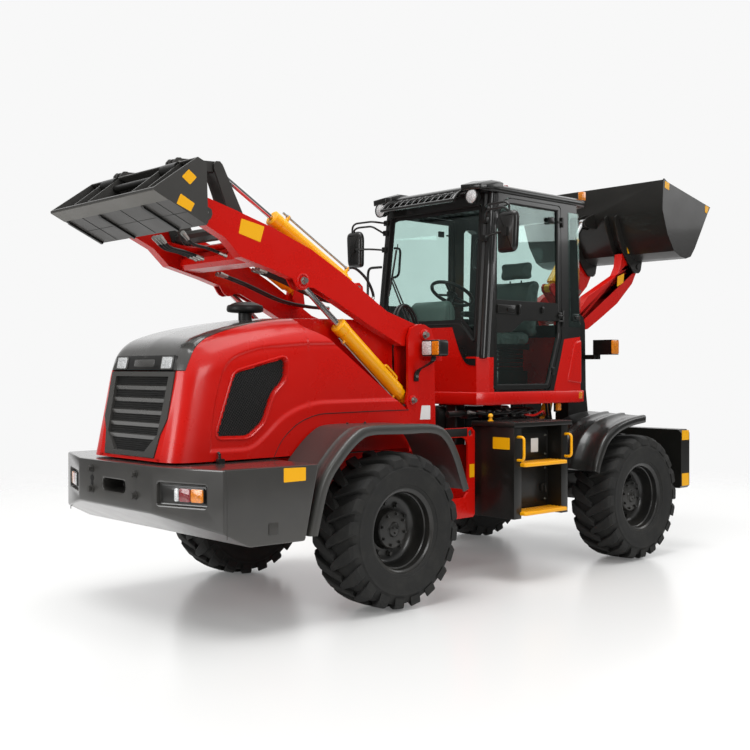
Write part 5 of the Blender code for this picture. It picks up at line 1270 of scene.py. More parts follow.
# ---------------------------------------------------------------- doors
# Each door is a slim welded frame with a deep middle rail, glazed above and below. It hangs on
# two strap hinges at the rear pillar and closes on a rubber seal.
DOOR = closed_curve([(0.055, 1.412), (0.040, 2.720), (-0.030, 2.850), (-0.150, 2.902), (-0.795, 2.902),
                     (-0.795, 1.840), (-0.635, 1.412)], 0.045, 5)
RAIL = closed_curve([(0.030, 1.850), (0.030, 2.110), (-0.775, 2.110), (-0.775, 1.965), (-0.315, 1.955),
                     (-0.175, 1.862)], 0.04, 5)
for side, sign in SIDES:
    body = side + "_door"

    def on_door(outline, out):
        """Outline points laid on this door's side of the cab."""
        return on_side(outline, out, sign)

    bm = bmesh.new()
    moulding(bm, DOOR, [(0.0, -0.030), (0.0, -0.003), (0.004, 0.002), (0.034, 0.002), (0.040, -0.004),
                        (0.040, -0.030)], on_door)
    solid(bm, [on_door(RAIL, -0.028), on_door(RAIL, -0.006), on_door(grown_outline(RAIL, -0.004), -0.002)])
    mount(bm, "door_frame_" + side, satin_black, body, replaces=["door_" + side], sharp=32, weld=0)
    pane = grown_outline(DOOR, -0.030)
    bm = bmesh.new()
    solid(bm, [on_door(pane, deep) for deep in (-0.019, -0.015)])
    mount(bm, "door_pane_" + side, green_glass, body, replaces=["door_glass_" + side])
    bm = bmesh.new()
    moulding(bm, grown_outline(DOOR, -0.040),
             [(-0.003, -0.006), (-0.002, 0.001), (0.006, -0.004), (0.007, -0.013), (0.0, -0.013)], on_door)
    mount(bm, "door_glass_seal_" + side, rubber_seal, body)
    # Hardware: recessed handle, latch cover, hinge straps and a grab tube inside
    bm = bmesh.new()
    blocks = [((-0.200, 2.005), (0.010, 2.070), 0.002, 0.012),
              ((-0.175, 2.022), (-0.095, 2.050), 0.010, 0.026),
              ((-0.268, 2.000), (-0.238, 2.078), 0.002, 0.014),
              ((-0.560, 2.020), (-0.530, 2.072), 0.002, 0.012),
              ((-0.792, 1.985), (-0.752, 2.035), 0.002, 0.012),
              ((-0.700, 2.748), (-0.630, 2.800), 0.002, 0.010),
              ((-0.690, 1.530), (-0.655, 1.590), 0.002, 0.012)]
    for (x0, z0), (x1, z1), inner, outer in blocks:
        y0, y1 = cab_side(x0, z0) + inner - 0.004, cab_side(x0, z0) + outer
        rounded_box(bm, (x0, sign * y0, z0), (x1, sign * y1, z1), 0.007, along=1)
    for z in (2.770, 2.010, 1.965):
        y = sign * (cab_side(-0.80, z) + 0.010)
        sweep(bm, [(-0.803, y, z - 0.040), (-0.803, y, z + 0.040)], 0.011, 12)
        sweep(bm, [(-0.803, y, z), (-0.740, y - sign * 0.002, z)], 0.008, 8)
    mount(bm, "door_hardware_" + side, bezel_black, body, ease=0.002, weld=0)

# ---------------------------------------------------------------- cab roof
# A pressed roof panel over the frame, with a louvred sun visor between two lamp pods, round
# work lamps, a small beacon and a marker lamp at the rear corner.
bm = bmesh.new()
ROOF = closed_curve([(0.112, 0.612), (-1.165, 0.612), (-1.165, -0.612), (0.112, -0.612)], 0.13, 8)
levels = [(2.9305, 0.006), (2.938, 0.016), (2.955, 0.020), (2.972, 0.014), (2.986, -0.006), (2.998, -0.045),
          (3.006, -0.10)]
solid(bm, [[(x, y, z) for x, y in grown_outline(ROOF, out)] for z, out in levels])
# A lamp pod's section (x, z) at four places across
POD = [(0.385, [(-0.06, 2.975), (0.165, 2.955), (0.165, 2.990), (0.05, 3.022), (-0.06, 3.022)]),
       (0.420, [(-0.06, 2.965), (0.200, 2.940), (0.205, 2.985), (0.06, 3.030), (-0.06, 3.030)]),
       (0.590, [(-0.06, 2.960), (0.175, 2.935), (0.180, 2.980), (0.04, 3.020), (-0.06, 3.022)]),
       (0.625, [(-0.06, 2.962), (0.130, 2.945), (0.135, 2.972), (0.02, 3.000), (-0.06, 3.004)])]
for sign in (1, -1):
    solid(bm, [[(x, sign * y, z) for x, z in section] for y, section in POD])
roof_mesh = eased(plain_mesh(bm, 0), 0.008, 3, 35)
mount(roof_mesh, "pressed_roof", satin_black, replaces=["cab_roof"], sharp=40)

bm = bmesh.new()
for k in range(11):
    y = -0.35 + 0.07 * k
    solid(bm, [[(x, y - 0.006, z), (x, y + 0.006, z), (x, y + 0.011, z + 0.010), (x, y - 0.001, z + 0.010)]
               for x, z in ((0.090, 2.958), (0.150, 2.944), (0.220, 2.908), (0.262, 2.868))])
for x, z, r in ((0.266, 2.866, 0.014), (0.185, 2.932, 0.008), (0.110, 2.962, 0.012)):
    sweep(bm, [(x, y, z) for y in (-0.40, 0.40)], r, 10)
for y in (-0.395, 0.395):
    sweep(bm, through([(0.08, y, 2.965), (0.16, y, 2.948), (0.225, y, 2.910), (0.266, y, 2.866)], 5), 0.013,
          8)
mount(bm, "louvred_visor", satin_black, weld=0)

for side, sign in SIDES:
    centre = Vector((0.150, sign * 0.505, 2.893))
    bm = bmesh.new()
    turned(bm, [(-0.050, 0.0), (-0.048, 0.030), (-0.020, 0.052), (0.020, 0.058), (0.026, 0.062),
                (0.032, 0.062), (0.034, 0.056), (0.026, 0.054), (0.026, 0.0)], centre, "X", 40)
    sweep(bm, [centre + Vector((-0.02, 0, 0.03)), centre + Vector((-0.02, 0, 0.075))], 0.012, 10)
    mount(bm, "work_lamp_" + side, bezel_black)
    bm = bmesh.new()
    turned(bm, [(0.020, 0.0), (0.020, 0.0535), (0.028, 0.0530), (0.036, 0.036), (0.040, 0.0)], centre, "X",
           40)
    mount(bm, "work_lamp_lens_" + side, clear_lens)
bm = bmesh.new()
turned(bm, [(3.010, 0.0), (3.010, 0.034), (3.028, 0.032), (3.030, 0.020), (3.030, 0.0)], (-0.47, 0.30, 0),
       "Z", 32)
mount(bm, "beacon_foot", bezel_black)
bm = bmesh.new()
turned(bm, [(3.029, 0.0), (3.029, 0.024), (3.060, 0.023), (3.074, 0.016), (3.079, 0.0)], (-0.47, 0.30, 0),
       "Z", 32)
mount(bm, "beacon_dome", red_lens)
bm = bmesh.new()
for sign in (1, -1):
    rounded_box(bm, (-1.160, sign * 0.545, 2.990), (-1.110, sign * 0.595, 3.062), 0.010, along=2)
mount(bm, "roof_marker_lamps", amber_lens, ease=0.004)

# ---------------------------------------------------------------- mirrors and grab tubes
# Moulded mirror heads hang on doubled steel tubes from the front pillars; powder-coated grab
# tubes stand beside the pillars.
mirror_glass, tree, position = blank_material("silvered_mirror")
film = add_node(tree, "ShaderNodeTexNoise", Vector=position, Scale=14.0, Detail=2.0)
rough = ranged(tree, film, (0.0, 1.0), (0.01, 0.06))
surface(tree, Base_Color=linear("D8DCDC"), Metallic=1.0, Roughness=rough)
for side, sign in SIDES:
    head = closed_curve([(0.752, 2.440), (0.748, 2.700), (0.780, 2.748), (0.925, 2.745), (0.945, 2.710),
                         (0.932, 2.470), (0.905, 2.440)], 0.035, 5)
    bm = bmesh.new()
    solid(bm, [[(x, sign * y, z) for y, z in grown_outline(head, out)]
               for x, out in ((0.132, -0.012), (0.134, -0.004), (0.140, 0.0), (0.158, 0.0), (0.170, -0.010),
                              (0.176, -0.020), (0.179, -0.030))])
    mount(bm, "mirror_head_" + side, bezel_black, replaces=["mirror_" + side], sharp=60, weld=0)
    bm = bmesh.new()
    solid(bm, [[(x, sign * y, z) for y, z in grown_outline(head, -0.014)] for x in (0.1305, 0.1335)])
    mount(bm, "mirror_glass_" + side, mirror_glass, weld=0)
    bm = bmesh.new()
    tubes = [[(0.070, 0.560, 2.800), (0.150, 0.640, 2.815), (0.165, 0.830, 2.815), (0.165, 0.870, 2.790),
              (0.165, 0.870, 2.735)],
             [(0.085, 0.565, 2.715), (0.150, 0.640, 2.775), (0.160, 0.800, 2.778), (0.164, 0.845, 2.765),
              (0.165, 0.850, 2.735)],
             [(0.085, 0.565, 2.575), (0.140, 0.660, 2.585), (0.185, 0.780, 2.590), (0.182, 0.830, 2.592)]]
    for tube in tubes:
        sweep(bm, [(x, sign * y, z) for x, y, z in softened(tube, 0.03, 5)], 0.0085, 10)
    for z in (2.800, 2.715, 2.575):
        x = cab_front(z)
        rounded_box(bm, (x - 0.020, sign * 0.520, z - 0.022), (x + 0.012, sign * 0.575, z + 0.022), 0.006)
    rounded_box(bm, (0.172, sign * 0.815, 2.560), (0.196, sign * 0.865, 2.625), 0.008)
    mount(bm, "mirror_tubes_" + side, bezel_black, sharp=50, weld=0)
    bm = bmesh.new()
    if sign < 0:
        grab = [(0.105, 0.570, 2.430), (0.125, 0.690, 2.430), (0.125, 0.715, 2.400), (0.130, 0.715, 2.080),
                (0.130, 0.690, 2.040), (0.125, 0.590, 2.030)]
        sweep(bm, [(x, sign * y, z) for x, y, z in softened(grab, 0.03, 5)], 0.011, 10)
    inner = [(0.020, 0.500, 2.590), (0.030, 0.430, 2.580), (0.035, 0.415, 2.550), (0.050, 0.415, 2.370),
             (0.050, 0.440, 2.345), (0.045, 0.500, 2.340)]
    sweep(bm, [(x, sign * y, z) for x, y, z in softened(inner, 0.02, 5)], 0.010, 10)
    mount(bm, "grab_tubes_" + side, bezel_black, sharp=50, weld=0)

# ---------------------------------------------------------------- console
# A moulded dash under the windshield with the steering column and wheel, and a lever box
# beside the seat.
dash_grey = coated("grey_green_moulding", "5A6560", 0.5, 0.3, 0.05, dust=0.05)
bm = bmesh.new()
DASH = closed_curve([(0.082, 1.345), (0.082, 1.950), (0.060, 2.095), (-0.020, 2.135), (-0.085, 2.040),
                     (-0.030, 1.800), (0.000, 1.345)], 0.05, 6)
solid(bm, [[(x, y, z) for x, z in grown_outline(DASH, out)]
           for y, out in ((-0.290, -0.030), (-0.282, -0.012), (-0.260, 0.0), (0.090, 0.0), (0.112, -0.012),
                          (0.120, -0.030))])
mount(bm, "moulded_dash", dash_grey, replaces=["console"], sharp=45)
HUB = Vector((-0.150, 0.0, 2.190))
COLUMN = Vector((-0.5, 0.0, 0.866))
bm = bmesh.new()
sweep(bm, [HUB - COLUMN * 0.30, HUB - COLUMN * 0.10, HUB - COLUMN * 0.09, HUB - COLUMN * 0.02],
      [0.040, 0.036, 0.026, 0.024], 20)
wheel = bmesh.new()
angles = [2 * math.pi * k / 64 for k in range(64)]
sweep(wheel, [(0.175 * math.cos(a), 0.175 * math.sin(a), 0) for a in angles], 0.015, 12, True)
for angle in (0.35, 2.79, 4.71):
    sweep(wheel, [(0.03 * math.cos(angle), 0.03 * math.sin(angle), -0.012),
                  (0.172 * math.cos(angle), 0.172 * math.sin(angle), 0)], 0.010, 10)
turned(wheel, [(-0.030, 0.0), (-0.030, 0.034), (-0.005, 0.046), (0.006, 0.040), (0.009, 0.0)], axis="Z",
       segments=32)
wheel.transform(Matrix.Translation(HUB) @ Matrix.Rotation(math.radians(-30), 4, "Y"))
bm.from_mesh(plain_mesh(wheel, 0))
mount(bm, "steering_wheel", bezel_black, sharp=50, weld=0)
bm = bmesh.new()
rounded_box(bm, (-0.60, -0.520, 1.345), (-0.18, -0.330, 1.860), 0.05, along=2)
for x, lean in ((-0.24, 0.02), (-0.32, 0.0), (-0.40, -0.02)):
    sweep(bm, [(x, -0.425, 1.850), (x + lean, -0.420, 2.020)], 0.008, 8)
    turned(bm, [(2.010, 0.0), (2.012, 0.016), (2.040, 0.024), (2.062, 0.018), (2.068, 0.0)],
           (x + lean, -0.420, 0), "Z", 16)
mount(bm, "lever_box", bezel_black, ease=0.01, weld=0)

# ---------------------------------------------------------------- seat
# A suspension seat: foam pads covered in dark vinyl and stitched at the edges, on a moulded
# base with folding armrests.
vinyl, tree, position = blank_material("dark_seat_vinyl")
grain = add_node(tree, "ShaderNodeTexVoronoi", Vector=position, Scale=1 / 0.008)
worn = add_node(tree, "ShaderNodeTexNoise", Vector=position, Scale=7.0, Detail=4.0)
shade = add_node(tree, "ShaderNodeMix", {"data_type": "RGBA"}, i0=worn, i6=linear("46504C"),
                 i7=linear("66706C"))
leather = add_node(tree, "ShaderNodeBump", Height=grain.outputs["Distance"], Distance=0.0008, Strength=0.5)
surface(tree, Base_Color=shade.outputs[2], Roughness=0.5, Normal=leather)

PUFF = 0.014              # how far the covers bulge


def pad(low, high, radius, lean, pivot):
    """A foam pad: a rounded block, leant back about a pivot, its cover drawn out by the foam."""
    bm = bmesh.new()
    low, high = [v + PUFF for v in low], [v - PUFF for v in high]
    rounded_box(bm, low, high, radius, 5, along=1)
    leant = Matrix.Rotation(lean, 4, "Y")
    bm.transform(Matrix.Translation(pivot) @ leant @ Matrix.Translation(-Vector(pivot)))
    mesh = eased(plain_mesh(bm), 0.020, 4)
    flat = loose(mesh)
    fine = flat.modifiers.new("voxels", "REMESH")
    fine.mode = "VOXEL"
    fine.voxel_size = 0.006
    mesh = evaluated(flat)
    soft = loose(mesh)
    cloth = soft.modifiers.new("foam", "CLOTH")
    cloth.settings.use_pressure = True
    cloth.settings.uniform_pressure_force = 4.0
    cloth.settings.effector_weights.gravity = 0.0
    cloth.point_cache.frame_start = 1
    cloth.point_cache.frame_end = 20
    before = [v.co.copy() for v in soft.data.vertices]
    for frame_number in range(1, 21):
        scene.frame_set(frame_number)
    mesh = evaluated(soft)
    scene.frame_set(1)
    for v, start in zip(mesh.vertices, before):
        moved = v.co - start
        if moved.length > PUFF:
            v.co = start + moved.normalized() * PUFF
    smooth = loose(mesh)
    smooth.modifiers.new("smooth", "SMOOTH").iterations = 3
    return evaluated(smooth)


# The cushion, the back and the headrest
seat_meshes = [pad((-0.880, -0.250, 1.770), (-0.400, 0.250, 1.880), 0.045, 0.04, (-0.64, 0, 1.82)),
               pad((-0.990, -0.245, 1.830), (-0.860, 0.245, 2.350), 0.045, -0.08, (-0.93, 0, 1.85)),
               pad((-1.020, -0.165, 2.335), (-0.915, 0.165, 2.510), 0.035, -0.06, (-0.96, 0, 2.39))]
for index, mesh in enumerate(seat_meshes):
    cover = mount(mesh, "seat_pad_%d" % index, vinyl, replaces=["seat"] if index == 0 else [], sharp=180)
bm = bmesh.new()
rounded_box(bm, (-0.900, -0.200, 1.345), (-0.480, 0.200, 1.560), 0.04, along=2)
for k in range(5):
    rounded_box(bm, (-0.870 + 0.004 * (k % 2), -0.175, 1.560 + 0.036 * k),
                (-0.510 - 0.004 * (k % 2), 0.175, 1.592 + 0.036 * k), 0.03, along=2)
rounded_box(bm, (-0.890, -0.225, 1.740), (-0.430, 0.225, 1.785), 0.03, along=2)
for y in (-0.062, 0.062):
    sweep(bm, [(-0.952, y, 2.270), (-0.960, y, 2.340)], 0.007, 8)
for sign in (1, -1):
    arm = closed_curve([(-0.930, 2.020), (-0.930, 2.085), (-0.600, 2.075), (-0.600, 2.030)], 0.02, 4)
    solid(bm, [[(x, sign * y, z) for x, z in arm] for y in (0.268, 0.318)])
mount(bm, "seat_base", bezel_black, sharp=40, ease=0.008, weld=0)

# ---------------------------------------------------------------- cylinders
# Double-acting hydraulic cylinders: honed tubes in yellow enamel with a screwed gland, a chromed
# rod and a drawn steel pipe that feeds the rod end through clamped fittings.
for name in nodes:
    if "barrel" in name:
        dress(yellow_enamel, name)
    elif name.endswith("_rod") or "_rod_" in name:
        dress(chrome, name, edge=0.002)
# Body, y, base pin, rod pin, tube length, tube radius, pipe offset (up is positive)
CYLINDERS = [("lift_barrels", 0.42, (0.80, 1.35), (1.79, 2.16), 0.84, 0.045, -0.066),
             ("lift_barrels", -0.42, (0.80, 1.35), (1.79, 2.16), 0.84, 0.045, -0.066),
             ("tilt_barrels", 0.32, (1.22, 2.15), (2.40, 2.85), 0.84, 0.042, 0.085),
             ("tilt_barrels", -0.32, (1.22, 2.15), (2.40, 2.85), 0.84, 0.042, 0.085)]
for index, (body, y, base, tip, length, radius, offset) in enumerate(CYLINDERS):
    start, run = Vector((base[0], y, base[1])), Vector((tip[0] - base[0], 0, tip[1] - base[1])).normalized()
    up = Vector((-run.z, 0, run.x)) * offset

    def on_barrel(along, out=0.0):
        """A point along the cylinder; out is in pipe offsets from its axis."""
        return start + run * along + up * out

    bm = bmesh.new()
    sweep(bm, [on_barrel(s) for s in (0.105, 0.112, length - 0.075, length - 0.072, length - 0.066,
                                      length - 0.062, length - 0.006, length - 0.001)],
          [radius, radius + 0.009, radius + 0.009, radius + 0.004, radius + 0.004, radius + 0.012,
           radius + 0.012, radius + 0.004], 32)
    for s in (0.115, length - 0.115):
        sweep(bm, [on_barrel(s, 0.3), on_barrel(s, 0.8), on_barrel(s, 1.12)], [0.016, 0.014, 0.012], 10)
    if offset < 0:
        grip = [on_barrel(0.165, -0.50), on_barrel(0.165, -1.15), on_barrel(0.315, -1.15),
                on_barrel(0.315, -0.50)]
        sweep(bm, softened(grip, 0.02, 5), 0.009, 10)
    tag = "%s_%d" % (body, index % 2)
    mount(bm, tag + "_glands", yellow_enamel, body, sharp=40, weld=0)
    bm = bmesh.new()
    sweep(bm, [on_barrel(s, 1.0) for s in (0.095, 0.13, length - 0.13, length - 0.065)], 0.0075, 10)
    for s in (0.115, length - 0.115):
        sweep(bm, [on_barrel(s - 0.016, 1.0), on_barrel(s + 0.016, 1.0)], 0.012, 6)
    mount(bm, tag + "_pipes", zinc, body, sharp=40, weld=0)

# ---------------------------------------------------------------- front boom details
# Turned pins held by zinc bolts join arms, levers and cylinders. Black rubber hoses with
# crimped ends run between the arms, over a pressed saddle that ties the arms together.
HOSE_R = 0.0105
hose_rubber = coated("black_hose_rubber", "151514", 0.5, 0.1, 0.1, dust=0.12)
spots = [((x, sign * y, z), (0, sign, 0), width) for sign in (1, -1) for x, y, z, width in
         ((1.79, 0.472, 2.16, 0.038), (1.22, 0.383, 2.15, 0.018))]
bolts("boom_pin_bolts", zinc, spots, "front_boom_arms")
bm = bmesh.new()
for sign in (1, -1):
    turned(bm, [(sign * 0.458, 0.052), (sign * 0.466, 0.050), (sign * 0.468, 0.044), (sign * 0.466, 0.038),
                (sign * 0.458, 0.036)], (1.79, 0, 2.16), "Y", 36)
mount(bm, "lift_lug_bosses", red_enamel, "front_boom_arms", weld=0)
ROW = 17
rings = []
for k in range(ROW):
    y = -0.385 + 0.77 * k / (ROW - 1)
    reach = 0.085 + 0.135 * abs(y / 0.385) ** 3
    rings.append([(2.11 + s * reach * 0.944, y, 2.375 + s * reach * 0.33 + t) for s, t in
                  ((-1, 0.0), (-0.9, 0.010), (0.9, 0.010), (1, 0.0), (0.9, -0.006), (-0.9, -0.006))])
bm = bmesh.new()
solid(bm, rings)
mount(bm, "boom_saddle", red_enamel, "front_boom_arms", sharp=50)


def hoses(name, body, paths, radius=HOSE_R):
    """Hoses through points, with crimped ferrules at both ends."""
    bm, ends = bmesh.new(), bmesh.new()
    for path in paths:
        run = through(path, 6)
        sweep(bm, run, radius, 8)
        for a, b in ((run[0], run[1]), (run[-1], run[-2])):
            on = (b - a).normalized() * radius
            sweep(ends, [a - on * 1.5, a + on, a + on * 1.2, a + on * 5],
                  [radius * r for r in (1.5, 1.5, 1.22, 1.22)], 8)
    mount(bm, name, hose_rubber, body, sharp=60, weld=0)
    mount(ends, name + "_ferrules", zinc, body, sharp=40, weld=0)


along_arms = [[(1.02, y, 2.035), (1.20, y + 0.01, 2.040), (1.45, y, 2.075), (1.75, y - 0.01, 2.175),
               (1.98, y, 2.235)] for y in (0.250, 0.215, 0.180, -0.20, -0.24)]
to_bucket = [[(2.20, y, 2.32), (2.32, y - 0.03, 2.36), (2.42, y - 0.06, 2.385), (2.50, y - 0.04, 2.44)]
             for y in (-0.10, -0.14, 0.17, -0.18)]
to_tilt = [[(1.34, 0.235, 2.14), (1.18, 0.24, 2.30), (1.04, 0.25, 2.24), (0.96, 0.25, 2.12),
            (0.98, 0.25, 2.05)],
           [(1.42, 0.22, 2.10), (1.26, 0.22, 2.22), (1.12, 0.22, 2.16), (1.06, 0.22, 2.05)]]
hoses("boom_hoses", "front_boom_arms", along_arms + to_bucket + to_tilt)
over_tower = [[(0.66, y, 1.45), (0.70, y, 1.72), (0.66, y - 0.02, 1.98), (0.56, y - 0.03, 2.06),
               (0.46, y - 0.02, 1.96), (0.42, y, 1.70), (0.44, y, 1.40)] for y in (0.215, 0.180, -0.20)]
to_lift = [(0.78, 0.465, 1.33), (0.90, 0.478, 1.300), (0.985, 0.480, 1.225), (1.00, 0.475, 1.16)]
hoses("tower_hoses", "chassis", over_tower + [to_lift])
for side, sign in SIDES:
    flank_label("boom_label_" + side, sign * 0.4605,
                ((2.287, 2.525), (2.107, 2.490), (2.139, 2.387), (2.308, 2.430)), "front_boom_arms",
                radius=0.006)

# ---------------------------------------------------------------- front bucket details
# The bucket is welded from plate: a bolted cutting edge rubbed bright by use, three wear strips
# under the floor, round ties between the ribs, and blank yellow labels on its sides.
worn_steel = coated("worn_edge_steel", "5A5853", 0.42, 0.05, 0.0, dust=0.1, metallic=0.4)
FLOOR_RUN, FLOOR_OUT = Vector((0.905, 0, 0.425)), Vector((0.425, 0, -0.905))
FLOOR_BACK = Vector((2.668, 0, 2.432))


def under_floor(along, y, out):
    """A point under the bucket's floor: how far forward, across, and out from the plate."""
    return FLOOR_BACK + FLOOR_RUN * along + FLOOR_OUT * out + Vector((0, y, 0))


bm = bmesh.new()
solid(bm, [[under_floor(s, y, out) for s, out in ((0.288, -0.001), (0.290, 0.003), (0.396, 0.0025),
                                                  (0.3985, 0.0))] for y in (-0.639, 0.639)])
mount(bm, "cutting_edge", worn_steel, "front_bucket_body")
bm = bmesh.new()
for y in (-0.60, -0.18, 0.34):
    rings = []
    for s, drop in ((0.004, 0.014), (0.270, 0.014), (0.286, 0.004)):
        section = ((-0.012, -0.002), (-0.012, drop), (0.012, drop), (0.012, -0.002))
        rings.append([under_floor(s, y + w, out) for w, out in section])
    solid(bm, rings)
for y in (-0.40, 0.08, 0.50):
    sweep(bm, [under_floor(s, y, 0.0) for s in (0.01, 0.286)], 0.0025, 6)
sweep(bm, [under_floor(0.150, y, 0.0) for y in (-0.638, 0.638)], 0.002, 6)
mount(bm, "wear_strips", black_enamel, "front_bucket_body", weld=0)
bm = bmesh.new()
for sign in (1, -1):
    for x, z, r, y0, y1 in ((2.735, 2.785, 0.040, 0.280, 0.448), (2.790, 2.690, 0.026, 0.280, 0.448),
                            (2.760, 2.745, 0.022, -0.268, 0.268)):
        if y0 > 0 or sign > 0:
            sweep(bm, [(x, sign * y0, z), (x, sign * y1, z)], r, 28)
mount(bm, "rib_ties", black_enamel, "front_bucket_body", weld=0)
spots = [((2.575, sign * 0.489, 2.53), (0, sign, 0), 0.024) for sign in (1, -1)]
spots += [((2.685, sign * 0.373, 2.835), (0, sign, 0), 0.022) for sign in (1, -1)]
bolts("bucket_pin_bolts", zinc, spots, "front_bucket_body")
for side, sign in SIDES:
    for name, corners in (("diamond", ((2.794, 2.746), (2.738, 2.706), (2.785, 2.657), (2.841, 2.698))),
                          ("long", ((2.850, 2.598), (2.753, 2.550), (2.780, 2.499), (2.877, 2.537)))):
        flank_label("bucket_%s_label_%s" % (name, side), sign * 0.6405, corners, "front_bucket_body",
                    radius=0.006)

# ---------------------------------------------------------------- side boxes
# Folded steel boxes beside the frame, black enamelled, under a chequered lid. Their outer face
# is set back for two yellow treads, with tubular grab handles and blank labels.
BOX_PLAN = [(0.150, 0.50), (0.230, 0.58), (0.230, 0.97), (0.145, 0.97), (0.145, 0.838), (-0.330, 0.838),
            (-0.330, 0.97), (-0.410, 0.97), (-0.410, 0.50)]
LID_PLAN = [(0.158, 0.49), (0.250, 0.575), (0.250, 0.99), (-0.440, 0.99), (-0.440, 0.49)]
for side, sign in SIDES:
    bm = bmesh.new()
    solid(bm, [[(x, sign * y, z) for x, y in BOX_PLAN] for z in (0.478, 1.150)])
    solid(bm, [[(x, sign * y, z) for x, y in LID_PLAN] for z in (1.151, 1.183)])
    for z0, z1 in ((0.560, 0.840), (0.905, 1.090)):
        rounded_box(bm, (-0.305, sign * 0.838, z0), (0.120, sign * 0.843, z1), 0.012, along=1)
    mount(bm, "side_box_shell_" + side, black_enamel, replaces=["side_box_" + side], ease=0.004, weld=0)
    lines = []
    for i in range(15):
        for j in range(9):
            x, y, turn = -0.415 + 0.044 * i, 0.525 + 0.052 * j, 0.011 if (i + j) % 2 else -0.011
            if y > 0.50 + (x - 0.10) * 1.0:
                lines.append((Vector((x - 0.011, sign * (y - turn), 1.1832)),
                              Vector((x + 0.011, sign * (y + turn), 1.1832))))
    mount(wires(lines, 0.0055, black_enamel), "lid_chequers_" + side, black_enamel)
    bm = bmesh.new()
    lines = []
    for z in (0.503, 0.860):
        rounded_box(bm, (-0.347, sign * 0.845, z), (0.162, sign * 1.022, z + 0.026), 0.022, along=2)
        for i in range(16):
            for j in range(5):
                x, y = -0.325 + 0.031 * i, sign * (0.872 + 0.032 * j)
                lines.append((Vector((x - 0.008, y, z + 0.0262)), Vector((x + 0.008, y, z + 0.0262))))
    mount(bm, "treads_" + side, yellow_enamel, ease=0.005, segments=3, weld=0)
    mount(wires(lines, 0.006, yellow_enamel), "tread_studs_" + side, yellow_enamel)
    bm = bmesh.new()
    for x in (-0.375, 0.190):
        path = softened([(x, sign * 0.968, 1.080), (x, sign * 1.030, 1.080), (x, sign * 1.030, 0.910),
                         (x, sign * 0.968, 0.910)], 0.03, 6)
        sweep(bm, path, 0.0103, 12)
    turned(bm, [(1.180, 0.0), (1.180, 0.022), (1.190, 0.022), (1.192, 0.013), (1.212, 0.011), (1.216, 0.018),
                (1.232, 0.018), (1.240, 0.010), (1.241, 0.0)], (0.155, sign * 0.68, 0), "Z", 20)
    mount(bm, "grab_handles_" + side, yellow_enamel, sharp=45, weld=0)
    corners = ((0.769, 1.073), (0.929, 1.073), (0.929, 0.986), (0.769, 0.986))
    label("box_label_" + side, [(0.2312, sign * y, z) for y, z in corners], (1, 0, 0), label_yellow)
    flank_label("box_plate_" + side, sign * 0.8435,
                ((-0.120, 1.050), (-0.120, 0.945), (-0.205, 0.945), (-0.205, 1.050)), finish=label_white)
    flank_label("frame_label_" + side, sign * 0.6187,
                ((0.270, 0.866), (0.270, 0.767), (0.322, 0.767), (0.322, 0.866)))
    bm = bmesh.new()
    rounded_box(bm, (-0.285, sign * 0.842, 0.640), (-0.225, sign * 0.862, 0.700), 0.014, along=1)
    sweep(bm, [(-0.255, sign * 0.855, 0.685), (-0.255, sign * 0.872, 0.680), (-0.262, sign * 0.874, 0.640)],
          0.007, 8)
    mount(bm, "box_latch_" + side, bezel_black, weld=0)
    bolts("box_hinges_" + side, zinc, [((x, sign * 0.8435, z), (0, sign, 0), 0.014) for x in (-0.290, 0.105)
                                       for z in (1.070, 0.925, 0.820, 0.580)])

# Rubber splash guards cover the outrigger plates' front and top, round their windows
bm = bmesh.new()
for sign in (1, -1):
    guard = [(0.350, 1.136), (0.697, 1.136), (0.697, 0.620), (0.606, 0.640), (0.606, 1.076), (0.350, 1.076)]
    solid(bm, [[(x, sign * y, z) for x, z in guard] for y in (0.6165, 0.6215)])
mount(bm, "splash_guards", rubber_seal, ease=0.0015, weld=0)

# ---------------------------------------------------------------- under the cab
# Rubber-covered cab mounts stand on the frame; the valve block, filters and hoses lie beside
# them in the shade.
bm = bmesh.new()
for sign in (1, -1):
    for x in (0.08, -0.36):
        rounded_box(bm, (x - 0.058, sign * 0.192, 0.984), (x + 0.058, sign * 0.308, 1.294), 0.02, along=2)
    rounded_box(bm, (-0.62, sign * 0.33, 1.190), (-0.20, sign * 0.47, 1.262), 0.012, along=0)
    rounded_box(bm, (-0.10, sign * 0.36, 1.195), (0.16, sign * 0.46, 1.250), 0.02, along=0)
    for x, r in ((-0.56, 0.026), (-0.44, 0.020), (-0.30, 0.026), (0.02, 0.030)):
        sweep(bm, [(x, sign * 0.34, 1.225), (x, sign * 0.50, 1.225), (x, sign * 0.505, 1.225),
                   (x, sign * 0.53, 1.225)], [r, r, r * 0.7, r * 0.7], 14)
    sweep(bm, [(-0.17, sign * 0.40, 1.232), (0.33, sign * 0.40, 1.232)], 0.024, 16)
rounded_box(bm, (-0.66, -0.185, 1.090), (0.20, 0.185, 1.272), 0.03, along=0)
mount(bm, "cab_mounts_and_valves", bezel_black, ease=0.004, weld=0)
hoses("valve_hoses", "chassis", [[(-0.60 + 0.10 * k, s * 0.52, 1.215),
                                  (-0.52 + 0.11 * k, s * (0.55 - 0.01 * k), 1.245),
                                  (-0.38 + 0.10 * k, s * 0.545, 1.225), (-0.25 + 0.11 * k, s * 0.50, 1.245)]
                                 for k in range(5) for s in (1, -1)], 0.010)
bm = bmesh.new()
for sign in (1, -1):
    sweep(bm, through([(-0.72, sign * 0.50, 1.21), (-0.62, sign * 0.56, 1.235), (-0.52, sign * 0.555, 1.205),
                       (-0.42, sign * 0.52, 1.215)], 6), 0.009, 8)
mount(bm, "red_return_hoses", red_enamel, weld=0)

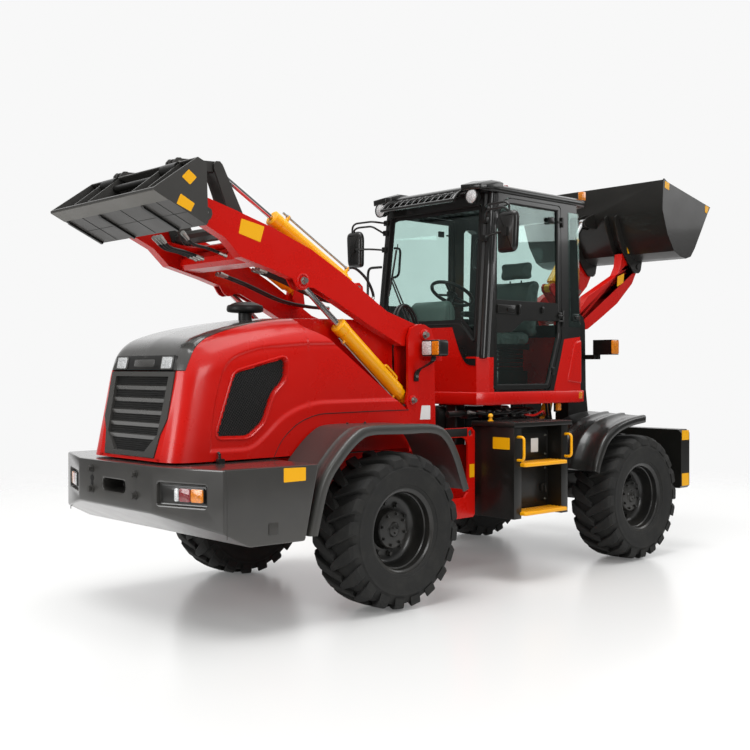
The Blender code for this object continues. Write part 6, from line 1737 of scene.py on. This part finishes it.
# ---------------------------------------------------------------- rear details
# Blank reflectors on the rear plate's ends, rear lamps on their arms, hoses along the rear
# boom, and blank labels on the bucket's corners and ears.
for side, sign in SIDES:
    for index, (z0, z1) in enumerate(((0.560, 0.668), (0.958, 1.042))):
        flank_label("rear_reflector_%s_%d" % (side, index), sign * 0.9907,
                    ((-2.008, z0), (-2.008, z1), (-2.118, z1), (-2.118, z0)), "rear_chassis")
    bm = bmesh.new()
    rounded_box(bm, (-1.636, sign * 0.562, 1.706), (-1.532, sign * 0.598, 1.826), 0.014, along=1)
    mount(bm, "rear_lamp_amber_" + side, amber_lens, "rear_chassis", ease=0.004, weld=0)
    bm = bmesh.new()
    rounded_box(bm, (-1.646, sign * 0.410, 1.714), (-1.636, sign * 0.552, 1.818), 0.014, along=0)
    mount(bm, "rear_lamp_red_" + side, red_lens, "rear_chassis", ease=0.003, weld=0)
    flank_label("rear_boom_label_" + side, sign * 0.2957,
                ((-2.056, 2.424), (-2.160, 2.460), (-2.145, 2.372), (-2.045, 2.330)), "rear_boom_arms")
    flank_label("rear_ear_label_" + side, sign * 0.3187,
                ((-2.170, 2.700), (-2.225, 2.715), (-2.240, 2.650), (-2.185, 2.640)), "rear_bucket_body")
    for index, corners in enumerate((((-2.070, 3.240), (-2.140, 3.225), (-2.135, 3.165), (-2.065, 3.180)),
                                     ((-2.815, 3.082), (-2.750, 3.096), (-2.745, 3.030), (-2.782, 3.022)))):
        flank_label("rear_bucket_marker_%s_%d" % (side, index), sign * 0.7807, corners, "rear_bucket_body",
                    radius=0.003)
spots = [((x, sign * 0.326, z), (0, sign, 0), width) for sign in (1, -1)
         for x, z, width in ((-1.40, 1.97, 0.030), (-1.42, 2.02, 0.014))]
bolts("rear_pin_bolts", zinc, spots, "rear_chassis")
hoses("rear_boom_hoses", "rear_boom_arms",
      [[(-1.66, s * y, 2.07), (-1.76, s * y, 2.110), (-1.92, s * (y - 0.01), 2.19), (-2.10, s * y, 2.31)]
       for s in (1, -1) for y in (0.19, 0.165)])
hoses("rear_tower_hoses", "rear_chassis",
      [[(-1.28, s * y, 1.02), (-1.22, s * y, 1.35), (-1.26, s * y, 1.62), (-1.36, s * (y + 0.01), 1.80)]
       for s in (1, -1) for y in (0.12, 0.155)])
